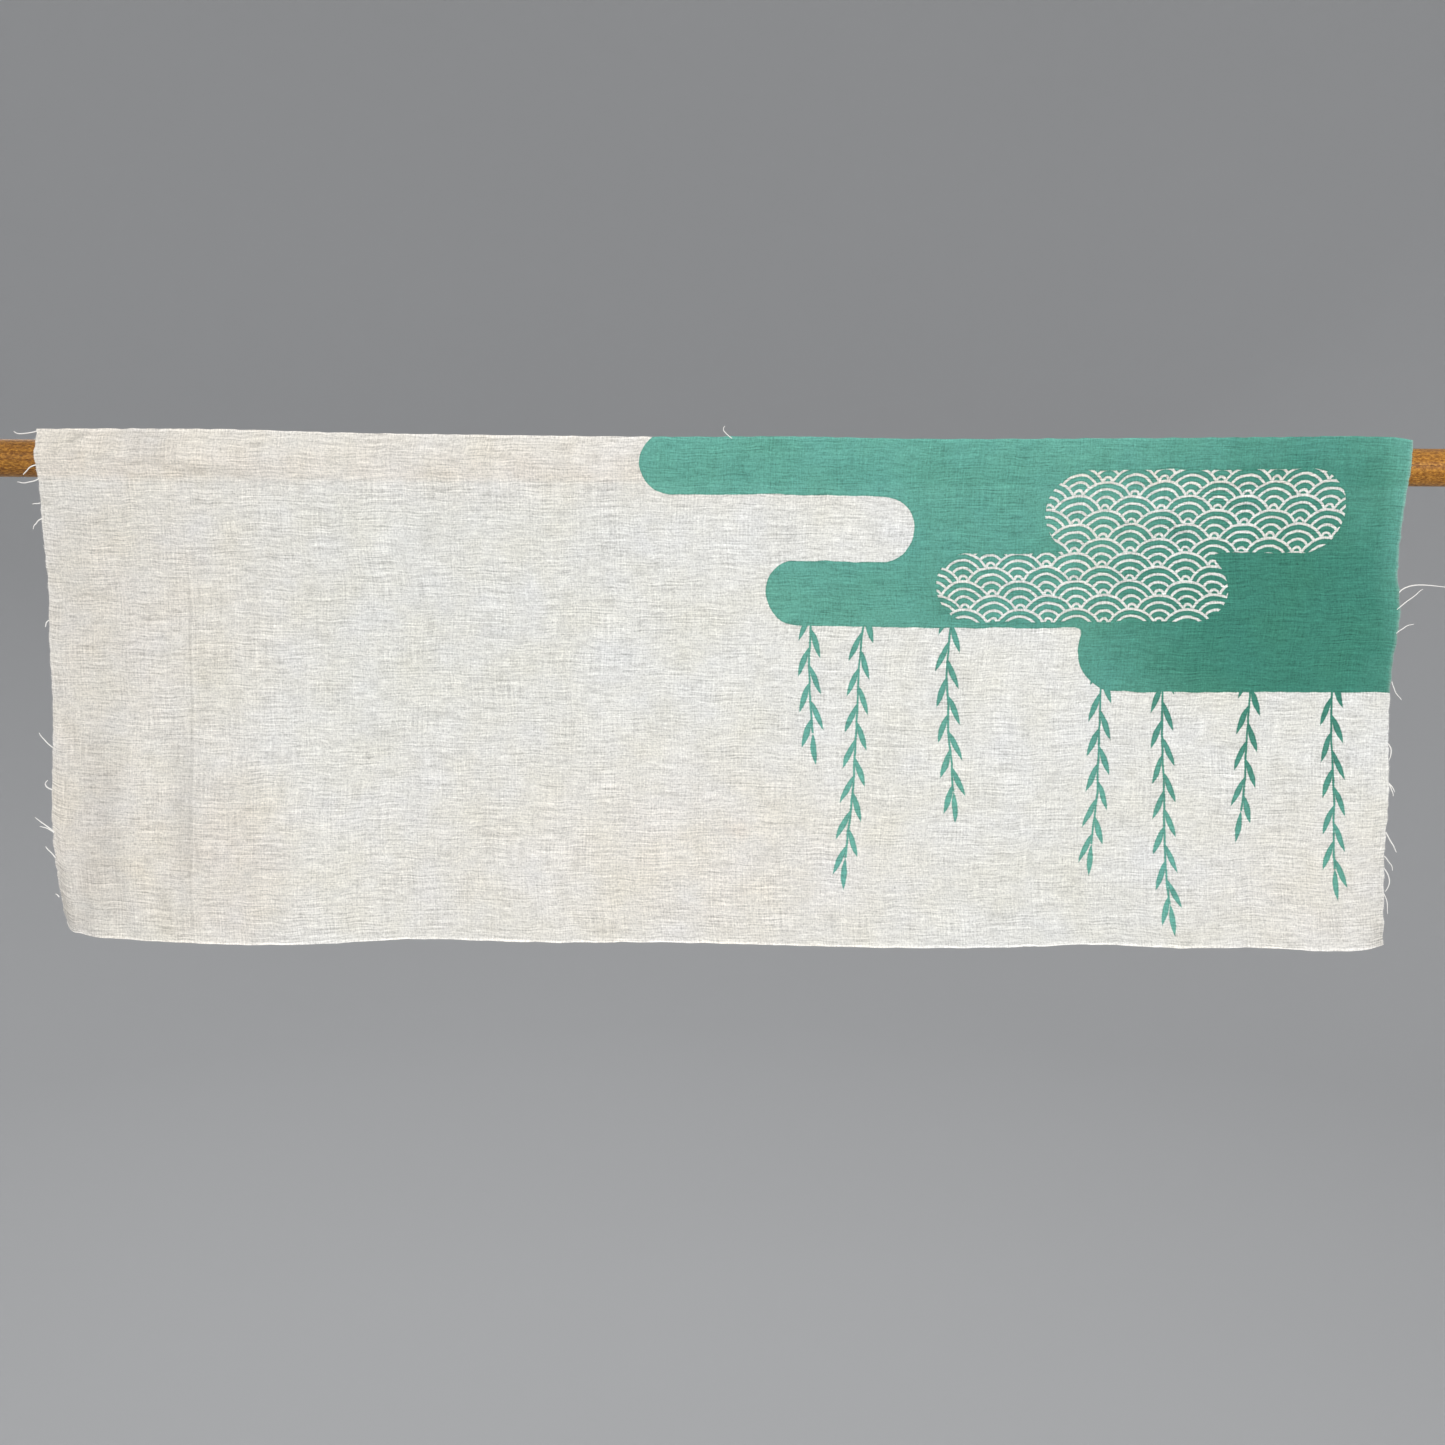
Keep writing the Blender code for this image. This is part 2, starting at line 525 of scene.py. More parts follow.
def tubes(paths: np.ndarray, radii: np.ndarray, sides: int) -> tuple[np.ndarray, list[list[int]]]:
    """Return closed tubes along many paths at once.

    Around each path's point stand the given number of points, on the two directions square to
    the path: its cross product with the +Y axis, and that one's cross product with the path.

    Args:
        paths: Places of every tube's middle line, with shape (tubes, points, 3).
        radii: Its radius at each point, with shape (tubes, points).
        sides: Points around it.

    Returns:
        The points, with shape (tubes, points, sides, 3), and the faces.
    """
    count, steps = paths.shape[:2]
    run = np.gradient(paths, axis=1)
    run /= np.linalg.norm(run, axis=2, keepdims=True)
    aside = np.cross(run, (0.0, 1.0, 0.0))
    aside /= np.linalg.norm(aside, axis=2, keepdims=True)
    over = np.cross(run, aside)
    turn = np.arange(sides) * 2 * math.pi / sides
    ring = np.cos(turn)[:, None] * aside[:, :, None] + np.sin(turn)[:, None] * over[:, :, None]
    points = paths[:, :, None] + radii[:, :, None, None] * ring
    one = grid_faces(steps, sides, closed=True)[:, ::-1]
    first = (np.arange(count) * steps * sides)[:, None]
    walls = (one[None] + first[:, :, None]).reshape(-1, 4)
    near = first + np.arange(sides)[None]
    far = first + (steps - 1) * sides + np.arange(sides)[None, ::-1]
    return points, walls.tolist() + near.tolist() + far.tolist()


# Shape of the hanging cloth, from the same measured places as the solid

# Top selvedge: height above the rod's axis
TOP_EDGE = table(
    "along height",
    (-0.4550, 0.0187),
    (-0.4000, 0.0192),
    (-0.3200, 0.0191),
    (-0.2700, 0.0178),
    (-0.1600, 0.0166),
    (-0.0300, 0.0163),
    (0.0500, 0.0170),
    (0.1100, 0.0161),
    (0.2600, 0.0173),
    (0.3700, 0.0189),
    (0.4200, 0.0196),
    (0.4450, 0.0187),
    (0.4540, 0.0172),
)

# Bottom selvedge: height, and how far its waves stand forward of the hanging plane
BOTTOM_EDGE = table(
    "along height forward",
    (-0.4525, -0.3166, 0.0000),
    (-0.4485, -0.3200, 0.0003),
    (-0.4380, -0.3217, 0.0008),
    (-0.4080, -0.3232, 0.0030),
    (-0.3300, -0.3249, 0.0090),
    (-0.2850, -0.3250, 0.0078),
    (-0.2100, -0.3228, -0.0010),
    (-0.1200, -0.3236, 0.0030),
    (-0.0600, -0.3233, 0.0012),
    (0.0450, -0.3241, 0.0040),
    (0.1240, -0.3248, 0.0065),
    (0.2060, -0.3245, 0.0020),
    (0.2460, -0.3238, -0.0020),
    (0.3100, -0.3243, 0.0030),
    (0.3700, -0.3243, 0.0022),
    (0.4150, -0.3248, 0.0075),
    (0.4414, -0.3242, 0.0040),
    (0.4526, -0.3236, 0.0010),
)

# Raw cut ends: place along the rod at each share of the way down
LEFT_END = table(
    "down along",
    (0.00, -0.4546),
    (0.05, -0.4553),
    (0.10, -0.4530),
    (0.19, -0.4517),
    (0.33, -0.4493),
    (0.40, -0.4501),
    (0.54, -0.4496),
    (0.68, -0.4517),
    (0.78, -0.4534),
    (0.94, -0.4531),
    (1.00, -0.4524),
)
RIGHT_END = table(
    "down along",
    (0.00, 0.4534),
    (0.06, 0.4506),
    (0.12, 0.4481),
    (0.26, 0.4461),
    (0.33, 0.4489),
    (0.45, 0.4454),
    (0.56, 0.4452),
    (0.70, 0.4476),
    (0.82, 0.4468),
    (0.92, 0.4489),
    (1.00, 0.4526),
)


@dataclass(frozen=True)
class Fold:
    """A soft fold along a line on the cloth's face; a negative forward makes it a trough."""

    name: str
    start_x: float
    start_z: float
    end_x: float
    end_z: float
    half_width: float
    forward: float
    bow: float = 0.0

    def height(self, x: np.ndarray, z: np.ndarray) -> np.ndarray:
        """Return how far the fold stands forward.

        It is forward times a bell of the distance from its line, and it fades at both ends of the
        line as 1 - (2 * share along - 1) to the fourth power. A bowed line is off the straight one
        by bow times 4 * share * (1 - share).

        Args:
            x: Places along the rod.
            z: Heights.

        Returns:
            The fold's height at each place.
        """
        run_x = self.end_x - self.start_x
        run_z = self.end_z - self.start_z
        length = math.hypot(run_x, run_z)
        from_x = x - self.start_x
        from_z = z - self.start_z
        along = (from_x * run_x + from_z * run_z) / length ** 2
        off = (from_x * run_z - from_z * run_x) / length - self.bow * 4 * along * (1 - along)
        fade = np.clip(1 - (2 * along - 1) ** 4, 0, 1)
        return self.forward * bell(off, self.half_width) * fade


@dataclass(frozen=True)
class Curl:
    """A bottom corner that curls back, with its reach in from the end and up from the edge."""

    side: Side
    back: float
    across: float
    up: float

    def depth(self, from_end: np.ndarray, from_bottom: np.ndarray) -> np.ndarray:
        """Return how far back it curls: both reaches' remaining shares, squared and multiplied.

        Args:
            from_end: Distance from the cloth's end.
            from_bottom: Height above the bottom edge.

        Returns:
            The depth at each place.
        """
        inward = np.clip(1 - from_end / self.across, 0, 1)
        upward = np.clip(1 - from_bottom / self.up, 0, 1)
        return self.back * inward ** 2 * upward ** 2


MAIN_FOLDS = (
    Fold("left trough", -0.417, -0.120, -0.415, -0.335, 0.0150, -0.0012),
    Fold("trough foot right", -0.418, -0.262, -0.402, -0.340, 0.0100, -0.0007),
    Fold("trough foot left", -0.437, -0.262, -0.436, -0.345, 0.0100, -0.0007),
    Fold("left ridge", -0.390, -0.110, -0.388, -0.345, 0.0160, 0.0010),
    Fold("pressed crease", -0.353, -0.030, -0.361, -0.330, 0.0110, -0.0006),
    Fold("foot of crease", -0.375, -0.275, -0.386, -0.340, 0.0090, -0.0006),
    Fold("left corner pull", -0.425, -0.011, -0.280, -0.024, 0.0075, -0.0007),
    Fold("right corner pull", 0.447, 0.004, 0.439, -0.070, 0.0090, 0.0012),
)
FINE_FOLDS = (
    Fold("top left arc", -0.4400, 0.0060, -0.3450, 0.0050, 0.0042, 0.0012, -0.0080),
    Fold("pressed line", -0.3590, -0.0450, -0.3604, -0.3180, 0.0030, -0.00022, -0.0027),
    Fold("line at the trough's foot", -0.4150, -0.2680, -0.4050, -0.3260, 0.0050, -0.0003),
    Fold("left foot line", -0.4375, -0.2750, -0.4380, -0.3300, 0.0055, -0.0003),
    Fold("dent near the foot", -0.3860, -0.2900, -0.3790, -0.3120, 0.0060, -0.0004),
    Fold("bump near the foot", -0.3740, -0.2860, -0.3690, -0.3120, 0.0055, 0.0004),
    Fold("right pressed line", 0.2858, -0.0600, 0.2890, -0.1600, 0.0028, -0.0002),
    Fold("right corner arm", 0.4474, 0.0078, 0.4415, -0.0085, 0.0030, 0.0009),
    Fold("right corner leg", 0.4415, -0.0040, 0.4410, -0.0520, 0.0034, 0.0008),
    Fold("top right arc", 0.4020, 0.0090, 0.4420, 0.0070, 0.0040, 0.0011, 0.0020),
    Fold("middle pull", -0.1900, 0.0020, -0.1100, -0.0200, 0.0060, -0.0003),
)
CURLS = (
    Curl(Side.LEFT, 0.0145, 0.035, 0.090),
    Curl(Side.RIGHT, 0.0075, 0.025, 0.050),
)


@dataclass(frozen=True)
class Hang:
    """The cloth's middle surface as it hangs from the front of the rod."""

    rod_radius: float = 0.0125
    gap: float = 0.0009
    lean: float = math.radians(18)
    wave_start: float = 0.2
    ripple_seed: int = 21
    ripple_count: int = 16
    ripple_height: float = 0.00022
    ripple_lengths: tuple[float, float] = (0.028, 0.130)
    ripple_lean: float = 0.45
    ripple_fade: tuple[float, float] = (-0.016, -0.060)
    edge_seeds: tuple[int, int] = (11, 12)
    edge_count: int = 24
    edge_unevenness: float = 0.00012
    top_lengths: tuple[float, float] = (0.004, 0.030)
    bottom_lengths: tuple[float, float] = (0.005, 0.035)
    end_seeds: tuple[int, int] = (31, 32)
    end_count: int = 20
    end_unevenness: float = 0.00025
    end_lengths: tuple[float, float] = (0.004, 0.020)
    end_reach: float = 0.006

    def line(self, height: np.ndarray) -> np.ndarray:
        """Return where the cloth hangs in front of or behind the rod's axis.

        It is straight below the axis, follows the rod's front up to the lean, and then stands up
        straight at the lean.

        Args:
            height: Heights above the axis.

        Returns:
            The place along Y at each height.
        """
        radius = self.rod_radius + self.gap
        lift = np.clip(height, 0, radius * math.sin(self.lean))
        on_rod = -np.sqrt(radius ** 2 - lift ** 2)
        return on_rod + (np.maximum(height, lift) - lift) * math.tan(self.lean)

    def ends(self, down: np.ndarray) -> tuple[np.ndarray, np.ndarray]:
        """Return where the left and the right end stand along the rod."""
        return curve(LEFT_END, "down", "along", down), curve(RIGHT_END, "down", "along", down)

    def points(self, across: np.ndarray, down: np.ndarray) -> np.ndarray:
        """Return the cloth's places at shares across and down its face.

        The height runs from the top edge to the bottom edge. The place forward is the hanging
        line, the bottom edge's wave growing with the square of the way down, the folds, the
        ripples below the rod, and less the curled corners.

        Args:
            across: Shares from the left end to the right end.
            down: Shares from the top edge to the bottom edge.

        Returns:
            The places, with one more dimension of three.
        """
        left, right = self.ends(down)
        x = left + (right - left) * across
        top = curve(TOP_EDGE, "along", "height", x)
        bottom = curve(BOTTOM_EDGE, "along", "height", x)
        top_seed, bottom_seed = self.edge_seeds
        top_waves = waves(top_seed, self.edge_count, *self.top_lengths, 0.0, x)
        bottom_waves = waves(bottom_seed, self.edge_count, *self.bottom_lengths, 0.0, x)
        top = top + self.edge_unevenness * top_waves
        bottom = bottom + self.edge_unevenness * bottom_waves
        z = top + (bottom - top) * down
        wave = curve(BOTTOM_EDGE, "along", "forward", x)
        forward = wave * np.clip((down - self.wave_start) / (1 - self.wave_start), 0, 1) ** 2
        for fold in MAIN_FOLDS + FINE_FOLDS:
            forward = forward + fold.height(x, z)
        shape = (self.ripple_seed, self.ripple_count, *self.ripple_lengths, self.ripple_lean)
        ripples = waves(*shape, x, z)
        forward = forward + self.ripple_height * ripples * smooth_step(*self.ripple_fade, z)
        for curl in CURLS:
            end = left if curl.side is Side.LEFT else right
            forward = forward - curl.depth(np.abs(x - end), z - bottom)
        for side, end, seed in zip(Side, (left, right), self.end_seeds):
            near = np.clip(1 - np.abs(x - end) / self.end_reach, 0, 1)
            end_waves = waves(seed, self.end_count, *self.end_lengths, 0.0, z)
            x = x + side.value * self.end_unevenness * near * end_waves
        return np.stack((x, self.line(z) - forward, z), axis=-1)


# Finishes


@dataclass(frozen=True)
class MistBar:
    """One long bar with round ends in the dyed design, in metres on the flat cloth."""

    left: float
    right: float
    middle: float
    half_height: float

    def distance(self, graph: Graph, across: Field, down: Field) -> Field:
        """Return the distance from the bar's rim, below zero inside it.

        Args:
            graph: The graph it is worked out in.
            across: Place across the cloth.
            down: Place down the cloth.

        Returns:
            The distance.
        """
        past_left = (self.left + self.half_height) - across
        past_right = across - (self.right - self.half_height)
        past = past_left.at_least(past_right).at_least(0.0)
        off = down - self.middle
        return graph.math("SQRT", past * past + off * off) - self.half_height


@dataclass(frozen=True)
class Strand:
    """One hanging willow strand: where it starts, its length, its sideways bow and its first leaf."""

    across: float
    down: float
    length: float
    bow: float
    phase: float


@dataclass(frozen=True)
class WillowLeaf:
    """A slim leaf on a thin stem: leaves follow one another by a pitch and lean off the stem."""

    pitch: float = 0.0240
    length: float = 0.0215
    half_width: float = 0.0020
    lean: float = math.radians(21)
    half_stem: float = 0.00075
    clear_of_tip: float = 1.2

    def half_width_at(self, share: Field) -> Field:
        """Return its half width at a share of its length, a parabola that is zero at both ends."""
        return share * (1.0 - share) * (4.0 * self.half_width)


@dataclass(frozen=True)
class WaveScale:
    """A round scale of overlapping rows: its radius, its line's width and its inner rings."""

    radius: float = 0.0185
    line_width: float = 0.0016
    ring_shares: tuple[float, ...] = (0.70, 0.42, 0.14)


@dataclass(frozen=True)
class DyedDesign:
    """Traditional motifs: mist bars, a patch of overlapping wave scales, and willow strands."""

    bars: tuple[MistBar, ...] = (
        MistBar(0.395, 1.2, 0.0165, 0.0215),
        MistBar(0.520, 1.2, 0.0595, 0.0215),
        MistBar(0.478, 1.2, 0.1025, 0.0215),
        MistBar(0.688, 1.2, 0.1375, 0.0295),
    )
    inlet: MistBar = MistBar(-0.2, 0.578, 0.0595, 0.0215)
    patch: tuple[MistBar, ...] = (
        MistBar(0.664, 0.862, 0.0480, 0.0270),
        MistBar(0.592, 0.786, 0.0975, 0.0225),
    )
    strands: tuple[Strand, ...] = (
        Strand(0.508, 0.105, 0.112, 0.006, 0.15),
        Strand(0.543, 0.105, 0.196, -0.009, 0.60),
        Strand(0.601, 0.105, 0.150, 0.008, 0.35),
        Strand(0.706, 0.150, 0.142, -0.005, 0.80),
        Strand(0.747, 0.150, 0.182, 0.010, 0.05),
        Strand(0.806, 0.150, 0.118, -0.007, 0.45),
        Strand(0.861, 0.150, 0.156, 0.006, 0.70),
    )
    leaf: WillowLeaf = WillowLeaf()
    scale: WaveScale = WaveScale()
    fillet: float = 0.012
    hand_bumps: float = 55.0
    hand_shift: float = 0.0022

    def build(self) -> bpy.types.NodeTree:
        """Build the design's node group.

        Returns:
            The group, whose output is the distance from the dyed ground's rim, below zero inside.
        """
        graph, given = new_group("dyed_design", {"Across": "Float", "Down": "Float"}, ("Distance",))
        strand_group = self._strand_group()
        scale_group = self._scale_group()
        across_shift, down_shift = self._hand_cut(graph, given["Across"], given["Down"])
        across = given["Across"] + across_shift
        down = given["Down"] + down_shift
        ground = self._joined_bars(graph, self.bars, across, down)
        ground = ground.at_least(0.0 - self.inlet.distance(graph, across, down))
        for strand in self.strands:
            result = graph.call(
                strand_group,
                Across=across - strand.across,
                Down=down - strand.down,
                Length=strand.length,
                Bow=strand.bow,
                Phase=strand.phase,
            )
            ground = ground.at_most(result["Distance"])
        patch = self._joined_bars(graph, self.patch, across, down)
        lines = graph.call(scale_group, Across=across, Down=down)["Distance"]
        return end_group(graph, Distance=ground.at_least(0.0 - lines.at_least(patch)))

    def _hand_cut(self, graph: Graph, across: Field, down: Field) -> tuple[Field, Field]:
        """Return small uneven shifts that make a hand-cut outline.

        Args:
            graph: The graph they are worked out in.
            across: Place across the cloth.
            down: Place down the cloth.

        Returns:
            The shifts across and down.
        """
        place = graph.joined(across * self.hand_bumps, down * self.hand_bumps)
        node = graph.add("TexNoise", {"Vector": place, "Scale": 1.0, "Detail": 2.0})
        red, green, _ = graph.split(node.outputs["Color"])
        return (red - 0.5) * self.hand_shift, (green - 0.5) * self.hand_shift

    def _joined_bars(self, graph: Graph, bars: tuple[MistBar, ...], across: Field, down: Field) -> Field:
        """Join bars, with a fillet where two meet.

        Args:
            graph: The graph it is worked out in.
            bars: The bars.
            across: Place across the cloth.
            down: Place down the cloth.

        Returns:
            The distance from their common rim.
        """
        result = bars[0].distance(graph, across, down)
        for bar in bars[1:]:
            result = graph.math("SMOOTH_MIN", result, bar.distance(graph, across, down), self.fillet)
        return result

    def _strand_group(self) -> bpy.types.NodeTree:
        """Build a willow strand: a thin bowed stem, slim leaves to both sides in turn, one at its tip.

        Returns:
            The group, whose output is the distance from the strand's rim.
        """
        inputs = {name: "Float" for name in ("Across", "Down", "Length", "Bow", "Phase")}
        graph, given = new_group("willow_strand", inputs, ("Distance",))
        leaf = self.leaf
        down = given["Down"]
        share = down / given["Length"]
        x = given["Across"] - given["Bow"] * share * share
        last = (down - given["Length"]) / leaf.length + 1.0
        stem = (abs(x) - leaf.half_stem).at_least(last * leaf.length)
        result = stem.at_most(abs(x) - leaf.half_width_at(last))
        for side, shift in ((1.0, 0.0), (-1.0, 0.5)):
            turns = down / leaf.pitch + given["Phase"] + shift
            y = graph.math("FRACT", turns) * leaf.pitch
            out = x * side
            along = (out * math.sin(leaf.lean) + y * math.cos(leaf.lean)) / leaf.length
            off = abs(out * math.cos(leaf.lean) - y * math.sin(leaf.lean))
            past = down - y - (given["Length"] - leaf.clear_of_tip * leaf.length)
            result = result.at_most((off - leaf.half_width_at(along)).at_least(past))
        return end_group(graph, Distance=result.at_least(0.0 - down))

    def _scale_group(self) -> bpy.types.NodeTree:
        """Build rows of overlapping round scales, each with inner rings.

        Rows stand half a radius apart and are shifted by a radius in turn. A point belongs to the
        lowest of the three nearest rows whose circle covers it.

        Returns:
            The group, whose output is the distance from the lines' rim.
        """
        graph, given = new_group("wave_scales", {"Across": "Float", "Down": "Float"}, ("Distance",))
        radius = self.scale.radius
        row = graph.math("CEIL", given["Down"] / (radius / 2)) + 1.0
        found = None
        for back in (2.0, 1.0, 0.0):
            this_row = row - back
            shift = graph.math("PINGPONG", this_row, 1.0) * radius
            x = graph.math("FLOORED_MODULO", given["Across"] + shift, 2 * radius) - radius
            y = this_row * (radius / 2) - given["Down"]
            distance = graph.math("SQRT", x * x + y * y)
            if found is None:
                found = distance
            else:
                covered = graph.math("LESS_THAN", distance, radius)
                found = covered.mixed(found, distance)
        half = self.scale.line_width / 2
        nearest = abs(found - (radius - half))
        for share in self.scale.ring_shares:
            nearest = nearest.at_most(abs(found - radius * share))
        return end_group(graph, Distance=nearest - half)


@dataclass(frozen=True)
class YarnLayer:
    """Thick and thin places of one set of yarns: their length, their spacing and their strength."""

    runs_across: bool
    slub: float
    pitch: float
    strength: float
    in_patches: bool = False


@dataclass(frozen=True)
class Sway:
    """A slow bend of the yarns to their side: its height, and its turn for each metre of cloth."""

    height: float
    turn_across: float
    turn_down: float

    def at(self, graph: Graph, across: Field, down: Field) -> Field:
        """Return the bend, a sine of the place."""
        return graph.math("SINE", across * self.turn_across + down * self.turn_down) * self.height


@dataclass(frozen=True)
class PaintedCreaseShade:
    """Painted shade and highlight of a sharp line pressed down the cloth: dark, with a lighter line to its
    right.
    """

    across: float
    start: float
    end: float
    shade: float
    half_width: float = 0.0015
    light_offset: float = 1.6
    light_share: float = 0.5
    fade_in: float = 0.100
    fade_out: float = 0.020

    def tone(self, across: Field, down: Field) -> Field:
        """Return how much lighter the painted highlight and shade make the cloth, below zero on the dark
        line.

        Each line is a triangle of the distance from its middle, and both fade at the two ends.

        Args:
            across: Place across the cloth.
            down: Place down the cloth.

        Returns:
            The difference in tone.
        """
        off = (across - self.across) / self.half_width
        dark = (1.0 - abs(off)).clamped()
        light = (1.0 - abs(off - self.light_offset)).clamped()
        begun = ((down - self.start) / self.fade_in).clamped()
        ending = ((self.end - down) / self.fade_out).clamped()
        return (light * self.light_share - dark) * begun * ending * self.shade


@dataclass(frozen=True)
class CottonFinish:
    """Undyed slubby plain-weave cotton with a green dyed design that shows on both sides."""

    cream: Colour = srgb(229, 228, 222)
    warm: Colour = srgb(229, 219, 206)
    bare: Colour = srgb(248, 246, 242)
    green: Colour = srgb(110, 176, 161)
    green_deep: Colour = srgb(66, 133, 115)
    roughness: float = 0.92
    sheen: float = 0.08
    specular: float = 0.15
    yarns: tuple[YarnLayer, ...] = (
        YarnLayer(True, 0.0020, 0.0009, 0.25),
        YarnLayer(True, 0.0100, 0.0010, 0.33),
        YarnLayer(True, 0.0380, 0.0010, 0.29, in_patches=True),
        YarnLayer(False, 0.0020, 0.0009, 0.27),
        YarnLayer(False, 0.0220, 0.0011, 0.19, in_patches=True),
    )
    down_sways: tuple[Sway, ...] = (Sway(0.0005, 83.0, 31.0), Sway(0.0002, 310.0, -77.0))
    across_sway: Sway = Sway(0.0005, -23.0, 97.0)
    # Painted shade and highlight of the pressed creases
    crease_shades: tuple[PaintedCreaseShade, ...] = (
        PaintedCreaseShade(0.0938, 0.020, 0.345, 0.125),
        PaintedCreaseShade(0.7400, 0.060, 0.345, 0.045),
    )
    patch_size: float = 0.026
    mottle_size: float = 0.045
    mottle_strength: float = 0.02
    hue_swing: float = 0.7
    yellow_tint: Colour = (1.010, 1.0, 0.962)
    blue_tint: Colour = (0.990, 1.0, 1.038)
    warm_in_patches: float = 0.4
    dye_softness: float = 0.0005
    dye_creep: float = 0.0004
    dye_rim: float = 0.0012
    dye_rim_depth: float = 0.35
    dye_in_patches: float = 0.14
    # How much lighter the painted highlight makes the selvedges
    selvedge_glint_lift: float = 0.20
    thread_pitch: float = 0.0010
    thread_height: float = 0.00003
    slub_height: float = 0.00008
    cord_pitch: float = 0.0012
    cord_height: float = 0.00003
    relief: float = 0.8

    def build(self, groups: Groups) -> bpy.types.Material:
        """Build the cotton's material.

        Args:
            groups: The shared node groups.

        Returns:
            The material.
        """
        graph, material, shader = principled("towel_cotton", self.roughness, self.sheen, self.specular)
        uv = graph.add("UVMap", uv_map="cloth").outputs[0]
        across, down, _ = graph.split(uv)
        patch = graph.call(groups.mottle, Place=uv, Size=self.patch_size, Strength=1.0)["Tone"]
        thick = self._yarns(graph, groups, across, down, patch)
        selvedge = self._mark(graph, "selvedge")
        warm_share = (self._mark(graph, "warmth") * patch.mixed(1.0 - self.warm_in_patches, 1.0)).clamped()
        cream = graph.blend(warm_share, self.cream, self.warm)
        distance = graph.call(DyedDesign().build(), Across=across, Down=down)["Distance"]
        dyed = (distance + thick * self.dye_creep).inside(self.dye_softness)
        rim = (1.0 - abs(distance) / self.dye_rim).clamped() * self.dye_rim_depth
        depth = self._mark(graph, "dye_depth") + rim + (patch - 1.0) * self.dye_in_patches
        green = graph.blend(depth.clamped(), self.green, self.green_deep)
        colour = graph.blend(dyed, cream, green)
        colour = graph.blend(self._mark(graph, "frayed"), colour, self.bare)
        mottle_values = {"Size": self.mottle_size, "Strength": self.mottle_strength}
        mottle = graph.call(groups.mottle, Place=uv, **mottle_values)["Tone"]
        # The selvedges are painted lighter: a painted highlight, twice as strong on the bottom one
        tone = (thick + 1.0) * mottle * (selvedge * self.selvedge_glint_lift + 1.0)
        # Painted shade of the folds and creases, partly real grime, darkens the tone; below zero it paints
        # light
        tone = tone * (1.0 - self._mark(graph, "grime_and_shade"))
        # Painted dark and light lines that shade the pressed creases
        for crease in self.crease_shades:
            tone = tone * (crease.tone(across, down) + 1.0)
        hue = ((mottle - 1.0) * (self.hue_swing / self.mottle_strength) + 0.5).clamped()
        tint = graph.blend(hue, self.yellow_tint, self.blue_tint)
        colour = graph.blend(1.0, graph.toned(colour, tone), tint, "MULTIPLY")
        graph.feed(shader.inputs["Base Color"], colour)
        graph.feed(shader.inputs["Normal"], self._relief(graph, across, down, thick, selvedge))
        return material

    @staticmethod
    def _mark(graph: Graph, name: str) -> Field:
        """Return what a piece's points carry under a name."""
        return Field(graph, graph.add("Attribute", attribute_name=name).outputs["Fac"])

    def _yarns(self, graph: Graph, groups: Groups, across: Field, down: Field, patch: Field) -> Field:
        """Return how much thicker and lighter the yarns are than their mean.

        It is the sum of the yarn layers. Each is read at a start of its own, the long slubs are
        stronger in some patches than in others, and the yarns sway a little to both sides.

        Args:
            graph: The material's graph.
            groups: The shared node groups.
            across: Place across the cloth.
            down: Place down the cloth.
            patch: Clouds around 1.

        Returns:
            The difference from the mean, around zero.
        """
        swayed_down = down
        for sway in self.down_sways:
            swayed_down = swayed_down + sway.at(graph, across, down)
        swayed_across = across + self.across_sway.at(graph, across, down)
        total = None
        for index, layer in enumerate(self.yarns):
            along, beside = swayed_across, swayed_down
            if not layer.runs_across:
                along, beside = beside, along
            place = {"Along": along + float(index), "Across": beside}
            thick = graph.call(groups.yarn, Slub=layer.slub, Pitch=layer.pitch, **place)["Thick"]
            part = thick * layer.strength
            if layer.in_patches:
                part = part * patch
            total = part if total is None else total + part
        return total

    def _relief(
        self, graph: Graph, across: Field, down: Field, thick: Field, selvedge: Field
    ) -> bpy.types.NodeSocket:
        """Return the normal of the weave: crossing threads, slubs, and a corded selvedge.

        Args:
            graph: The material's graph.
            across: Place across the cloth.
            down: Place down the cloth.
            thick: How much thicker the yarns are than their mean.
            selvedge: 1 or more at the selvedges and 0 away from them.

        Returns:
            The normal.
        """
        turn = 2 * math.pi / self.thread_pitch
        over = graph.math("SINE", across * turn) * graph.math("SINE", down * turn)
        height = over * self.thread_height + thick * self.slub_height
        cord = graph.math("SINE", across * (2 * math.pi / self.cord_pitch)) * selvedge
        height = height + cord * self.cord_height
        node = graph.add("Bump", {"Height": height, "Strength": self.relief, "Distance": 1.0})
        return node.outputs[0]


@dataclass(frozen=True)
class Grain:
    """Noise in the wood: its bumps for each metre along and beside the rod, and its finer layers."""

    along: float
    beside: float
    detail: float = 2.0
    roughness: float = 0.5

    def read(self, graph: Graph, x: Field, y: Field, z: Field) -> Field:
        """Return the noise, around one half, at a place in the rod."""
        place = graph.joined(x * self.along, y * self.beside, z * self.beside)
        return graph.noise(place, self.detail, self.roughness)


